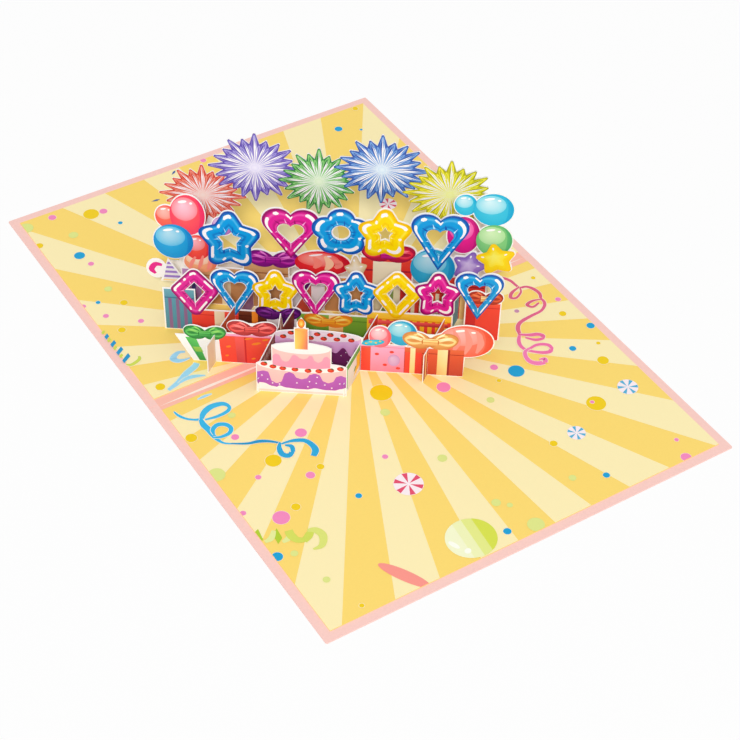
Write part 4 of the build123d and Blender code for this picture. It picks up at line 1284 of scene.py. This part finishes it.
# the lower tier; the pale pink band along its lowest edge is painted shade where the cake stands on the
# panel
block(cake_print, cake_inks["foot"], cake_x - lower_half, foot_line, 2 * lower_half, 1.3, 0.1)
frost = icing_edge(cake_x, lower_half, [
    (-1, 5.4), (-0.86, 5.2), (-0.66, 3.5), (-0.56, 3.1), (-0.5, 4), (-0.34, 3.0), (-0.1, 2.6), (0.12, 2.6),
    (0.3, 3.6), (0.55, 2.9), (0.75, 3.0), (0.88, 4), (1, 5)])
band(cake_print, cake_inks["top"], [(x, 1.5) for x, z in frost], frost, (0.3, 0.1))
icing = icing_edge(cake_x, lower_half, [
    (-1, 11.6), (-0.86, 12.4), (-0.76, 12), (-0.66, 6.4), (-0.56, 5.4), (-0.47, 6.2), (-0.36, 11.6),
    (-0.27, 12.4), (-0.2, 11.8), (-0.1, 9.2), (0.0, 8.6), (0.1, 9.2), (0.2, 11.6), (0.3, 12.3),
    (0.39, 11.8), (0.5, 8), (0.6, 7.2), (0.69, 7.9), (0.8, 11.4), (0.88, 12), (1, 11.2)], steps=5)
band(cake_print, cake_inks["purple"], [(x, height_on(frost, x)) for x, z in icing], icing, (0.6, 0.45))
rim = rim_over(icing, cake_x, lower_half, lower_rim, lower_dip)
band(cake_print, cake_inks["pink"], icing, rim, (0.35, 0.15))
band(cake_print, cake_inks["top"], rim, rim_over(icing, cake_x, lower_half, lower_rim, -lower_crown),
     (0.1, 0.3))
spots(cake_print, glint_ink, [(cake_x + x, z) for x, z in (
    (-14.6, 7.4), (-12.5, 5.3), (-9.5, 4.9), (-2, 6.2), (2.7, 4.3), (3.4, 7.4), (6.3, 6.7), (6.7, 10.3),
    (13, 4.4), (10, 6), (16.4, 7.2), (-17, 9.6))], 0.7, 0.7)
strawberries(cake_print, [(cake_x + x, z) for x, z in (
    (-16, 16.4), (-12.2, 15.1), (-8, 14.4), (-2.8, 14.1), (2.8, 13.8), (7.4, 14), (12.5, 14.8),
    (16.6, 16))], 3.0)
# the upper tier
tier_steps = 48
side_run = [(cake_x + upper_half * cos(pi * (1 - k / tier_steps)), 0) for k in range(tier_steps + 1)]
upper_wave = icing_edge(cake_x, upper_half, [
    (-1, 21.6), (-0.9, 22.8), (-0.78, 22.4), (-0.66, 19), (-0.55, 18.4), (-0.44, 19), (-0.32, 22.2),
    (-0.24, 22.8), (-0.14, 22), (-0.04, 20.8), (0.08, 20.4), (0.18, 21), (0.28, 22.6), (0.36, 22.8),
    (0.46, 19.8), (0.58, 18.9), (0.68, 19.6), (0.8, 22.4), (0.88, 22.8), (1, 21.4)], steps=5)
upper_edge = [(x, height_on(upper_wave, x)) for x, z in side_run]
upper_low, upper_front, upper_back = [
    rim_over(side_run, cake_x, upper_half, height, dip) for height, dip in (
        (upper_foot, upper_foot_dip), (upper_rim, upper_dip), (upper_rim, -upper_crown))]
band(cake_print, cake_inks["pink"], upper_low, upper_edge, (1.0, 0.9))
band(cake_print, cake_inks["pink"], upper_edge, upper_front, (0.3, 0.15))
band(cake_print, cake_inks["top"], upper_front, upper_back, (0.2, 0.1))
# the candle
block(cake_print, cake_inks["candle"], cake_x - 2.7, 26.2, 5.4, 11.6, [0.0, 1.0, 0.75, 0.2])
domed(cake_print, cake_inks["candle"], oval(cake_x, 37.4, 5.2, 1.5), rim=0.7, top=0.2)
domed(cake_print, cake_inks["flame"], oval(cake_x, 40.8, 3, 5.2), light=(0, -0.1))
cake_print.press("cake_print", cake_plane)

# Cross sheets
# Four low strips that pass through the picture sheets' slots and hold the lattice square.
# Each is printed to carry on the picture next to it, bay by bay.
sheet_turn = radians(72)


def crossing(picture, cross):
    """Where a picture sheet at one distance crosses a cross sheet at another, along the cross sheet."""
    return (picture + cross * cos(sheet_turn)) / sin(sheet_turn)


spike_inks = {
    "brown": ink("brown icing", (196, 110, 84), (150, 72, 52), (96, 36, 34)),
    "cream": flat_ink("cream icing", (250, 228, 214)),
}
picture_places = [-44, -27.5, -8, 10, 28]
# node, distance, how far its nose stands out where it has one, and the paper of each bay
cross_sheets = [
    ("left_cross_sheet", -45, 7.6, ["cream", "brick", "lilac", "tan"]),
    ("cake_left_side", -20, None, [None, "maroon", "crimson", "tan"]),
    ("cake_right_side", 15, None, [None, "crimson", "green", "tan"]),
    ("right_cross_sheet", 43, 5.1, [None, "brick", "teal", "lilac"]),
]
slot_half = 0.5
step_margin = 3
strip_height, low_strip_height = 15.3, 8.3
corner_reach, corner_foot, corner_height = 0.7, 5.2, 2.6
for node, place, nose, colours in cross_sheets:
    sheet_print = Print()
    stops = [crossing(picture, place) for picture in picture_places]
    step_at = (stops[3] + stops[4]) / 2
    bays = list(zip(stops, stops[1:]))
    if nose:
        bays[0] = (stops[1] - nose, stops[1])
    for colour, (start, stop) in zip(colours, bays):
        if colour is None:
            continue
        left, right, edge = start + slot_half * (start in stops), stop - slot_half, step_at - step_margin
        fields = [(left, right, strip_height, 0.3)]
        if right > step_at:
            fields = [(left, edge, strip_height, 0.35), (edge, right, low_strip_height, 0.45)]
        for begin, end, height, tone in fields:
            block(sheet_print, gift_inks[colour], begin, foot_line, end - begin, height,
                  [0.6, 0.6, tone, tone])
    corner, behind = stops[0] + slot_half, stops[1] - slot_half
    sheet_plane = standing(node, across)
    if not nose:
        # the lower corner that comes through the cake's slot carries on the cake's own print
        tip = min(v.co.dot(across) for v in nodes[node].data.vertices) / mm
        block(sheet_print, cake_inks["purple"], tip, corner_foot, corner_reach, corner_height)
        edge_print = Print()
        block(edge_print, cake_inks["purple"], -sheet_plane.half, corner_foot, 2 * sheet_plane.half,
              corner_height)
        edge_print.press(node + "_corner_print", Plane(
            sheet_plane.origin + across * tip, sheet_plane.face, up, 0, faces=(1,)))
    if node == "cake_left_side":
        # chocolate flakes with cream between them, and a spike of icing behind the front gifts
        slant(sheet_print, spike_inks["brown"],
              [(corner, foot_line), (behind, foot_line), (behind, 19.2), (corner, 15.7)],
              [0.7, 0.9, 0.6, 0.4])
        sheet_print.lay(spike_inks["cream"], *[
            plain(stroke((corner + 0.5 + 1.7 * k, 9 + 0.3 * k), (corner + 2.6 + 1.7 * k, 15.4 + 0.36 * k),
                         0.6)) for k in range(8)])
        start = stops[1] + slot_half
        patch(sheet_print, spike_inks["brown"],
              [(start, foot_line), (-27.3, foot_line), (-27.3, 15.6), (-29.5, 24.4), (-31.8, 19.2),
               (start, 19.2)], 0.55)
        slant(sheet_print, spike_inks["cream"], stroke((-30.4, 12), (-29.6, 23.2), 1.2))
    if node == "cake_right_side":
        # the cake's right side: white icing with a green edge along its top and its front
        block(sheet_print, gift_inks["white"], corner, foot_line, behind - corner, strip_height,
              [0.4, 0.5, 0.1, 0.1])
        block(sheet_print, gift_inks["lime"], corner, 12.6, behind - corner, 3, [0.7, 0.7, 0.4, 0.4])
        block(sheet_print, gift_inks["lime"], corner, 2, 2.4, 13.6, [0.7, 0.6, 0.4, 0.5])
        middle = (corner + behind) / 2
        patch(sheet_print, gift_inks["yellow"],
              [(middle + 1, 2.6), (behind, 4), (behind, 12.2), (middle + 4, 12.2), (middle + 5, 7)], 0.35)
        patch(sheet_print, gift_inks["green"], oval(middle + 2.6, 6.4, 3, 1.6, turn=0.6, count=16), 0.6)
    if node == "right_cross_sheet":
        # the gold ribboned gift's right side
        start = stops[1] - nose
        block(sheet_print, gift_inks["brick"], start, foot_line, behind - start, strip_height,
              [0.9, 0.7, 0.4, 0.5])
        block(sheet_print, gift_inks["gold"], start + 1.6, foot_line, 1.4, strip_height,
              [0.6, 0.6, 0.3, 0.3])
    sheet_print.press(node + "_print", sheet_plane)

# Floor, light and camera
# A pale floor and soft white light from all round, as in a product picture on white.
floor = bpy.data.objects.new("floor", bpy.data.meshes.new("floor"))
floor_half = 3.0
floor_grey, floor_roughness, floor_glow = 0.86, 0.9, 0.9
room_strength, backdrop_strength = 0.52, 1.0
floor_corners = bar(-floor_half, -floor_half, 2 * floor_half, 2 * floor_half)
floor.data.from_pydata([(x, y, 0) for x, y in floor_corners], [], [(0, 1, 2, 3)])
bpy.context.scene.collection.objects.link(floor)
floor_paint = bpy.data.materials.new("floor")
floor_paint.use_nodes = True
floor_tree = floor_paint.node_tree
floor_shader = floor_tree.nodes["Principled BSDF"]
floor_shader.inputs["Base Color"].default_value = (floor_grey, floor_grey, floor_grey, 1)
floor_shader.inputs["Roughness"].default_value = floor_roughness
glow = floor_tree.nodes.new("ShaderNodeEmission")
blend = floor_tree.nodes.new("ShaderNodeMixShader")
part = floor_tree.nodes.new("ShaderNodeMath")
part.operation = "MULTIPLY"
part.inputs[1].default_value = floor_glow


def seen(tree):
    """1 for a ray that comes from the camera, straight, off a gloss or through glass, else 0."""
    path = tree.nodes.new("ShaderNodeLightPath")
    found = path.outputs["Is Camera Ray"]
    for kind in ("Is Glossy Ray", "Is Transmission Ray"):
        either = tree.nodes.new("ShaderNodeMath")
        either.operation = "MAXIMUM"
        tree.links.new(found, either.inputs[0])
        tree.links.new(path.outputs[kind], either.inputs[1])
        found = either.outputs["Value"]
    return found


floor_tree.links.new(seen(floor_tree), part.inputs[0])
floor_tree.links.new(part.outputs["Value"], blend.inputs["Fac"])
floor_tree.links.new(floor_shader.outputs["BSDF"], blend.inputs[1])
floor_tree.links.new(glow.outputs["Emission"], blend.inputs[2])
floor_tree.links.new(blend.outputs["Shader"], floor_tree.nodes["Material Output"].inputs["Surface"])
floor.data.materials.append(floor_paint)

world = bpy.data.worlds.new("studio")
bpy.context.scene.world = world
world.use_nodes = True
sky = world.node_tree
room = sky.nodes["Background"]
room.inputs["Color"].default_value = (1, 1, 1, 1)
room.inputs["Strength"].default_value = room_strength
backdrop = sky.nodes.new("ShaderNodeBackground")
backdrop.inputs["Color"].default_value = (1, 1, 1, 1)
backdrop.inputs["Strength"].default_value = backdrop_strength
white_or_room = sky.nodes.new("ShaderNodeMixShader")
sky.links.new(seen(sky), white_or_room.inputs["Fac"])
sky.links.new(room.outputs["Background"], white_or_room.inputs[1])
sky.links.new(backdrop.outputs["Background"], white_or_room.inputs[2])
sky.links.new(white_or_room.outputs["Shader"], sky.nodes["World Output"].inputs["Surface"])


def lamp(name, place, size, watts):
    """A square lamp that faces the middle of the card."""
    light = bpy.data.lights.new(name, "AREA")
    light.size = size
    light.energy = watts
    holder = bpy.data.objects.new(name, light)
    holder.location = place
    holder.rotation_euler = (-Vector(place)).to_track_quat("-Z", "Y").to_euler()
    bpy.context.scene.collection.objects.link(holder)


lamp("key light", (-1.607, -2.545, 2.757), size=0.5, watts=100)
lamp("fill light", (0.4, 0.9, 1.3), size=1.2, watts=1.5)

lens = 88.47
sensor = 36.0
camera_place = (-0.32125, -0.5089, 0.55127)
camera_turn = (46.212, -1.197, -32.072)
camera = bpy.data.cameras.new("camera")
camera.lens = lens
camera.sensor_width = sensor
viewpoint = bpy.data.objects.new("camera", camera)
viewpoint.location = camera_place
viewpoint.rotation_euler = [radians(turn) for turn in camera_turn]
bpy.context.scene.collection.objects.link(viewpoint)
bpy.context.scene.camera = viewpoint
bpy.context.scene.view_settings.view_transform = "Standard"
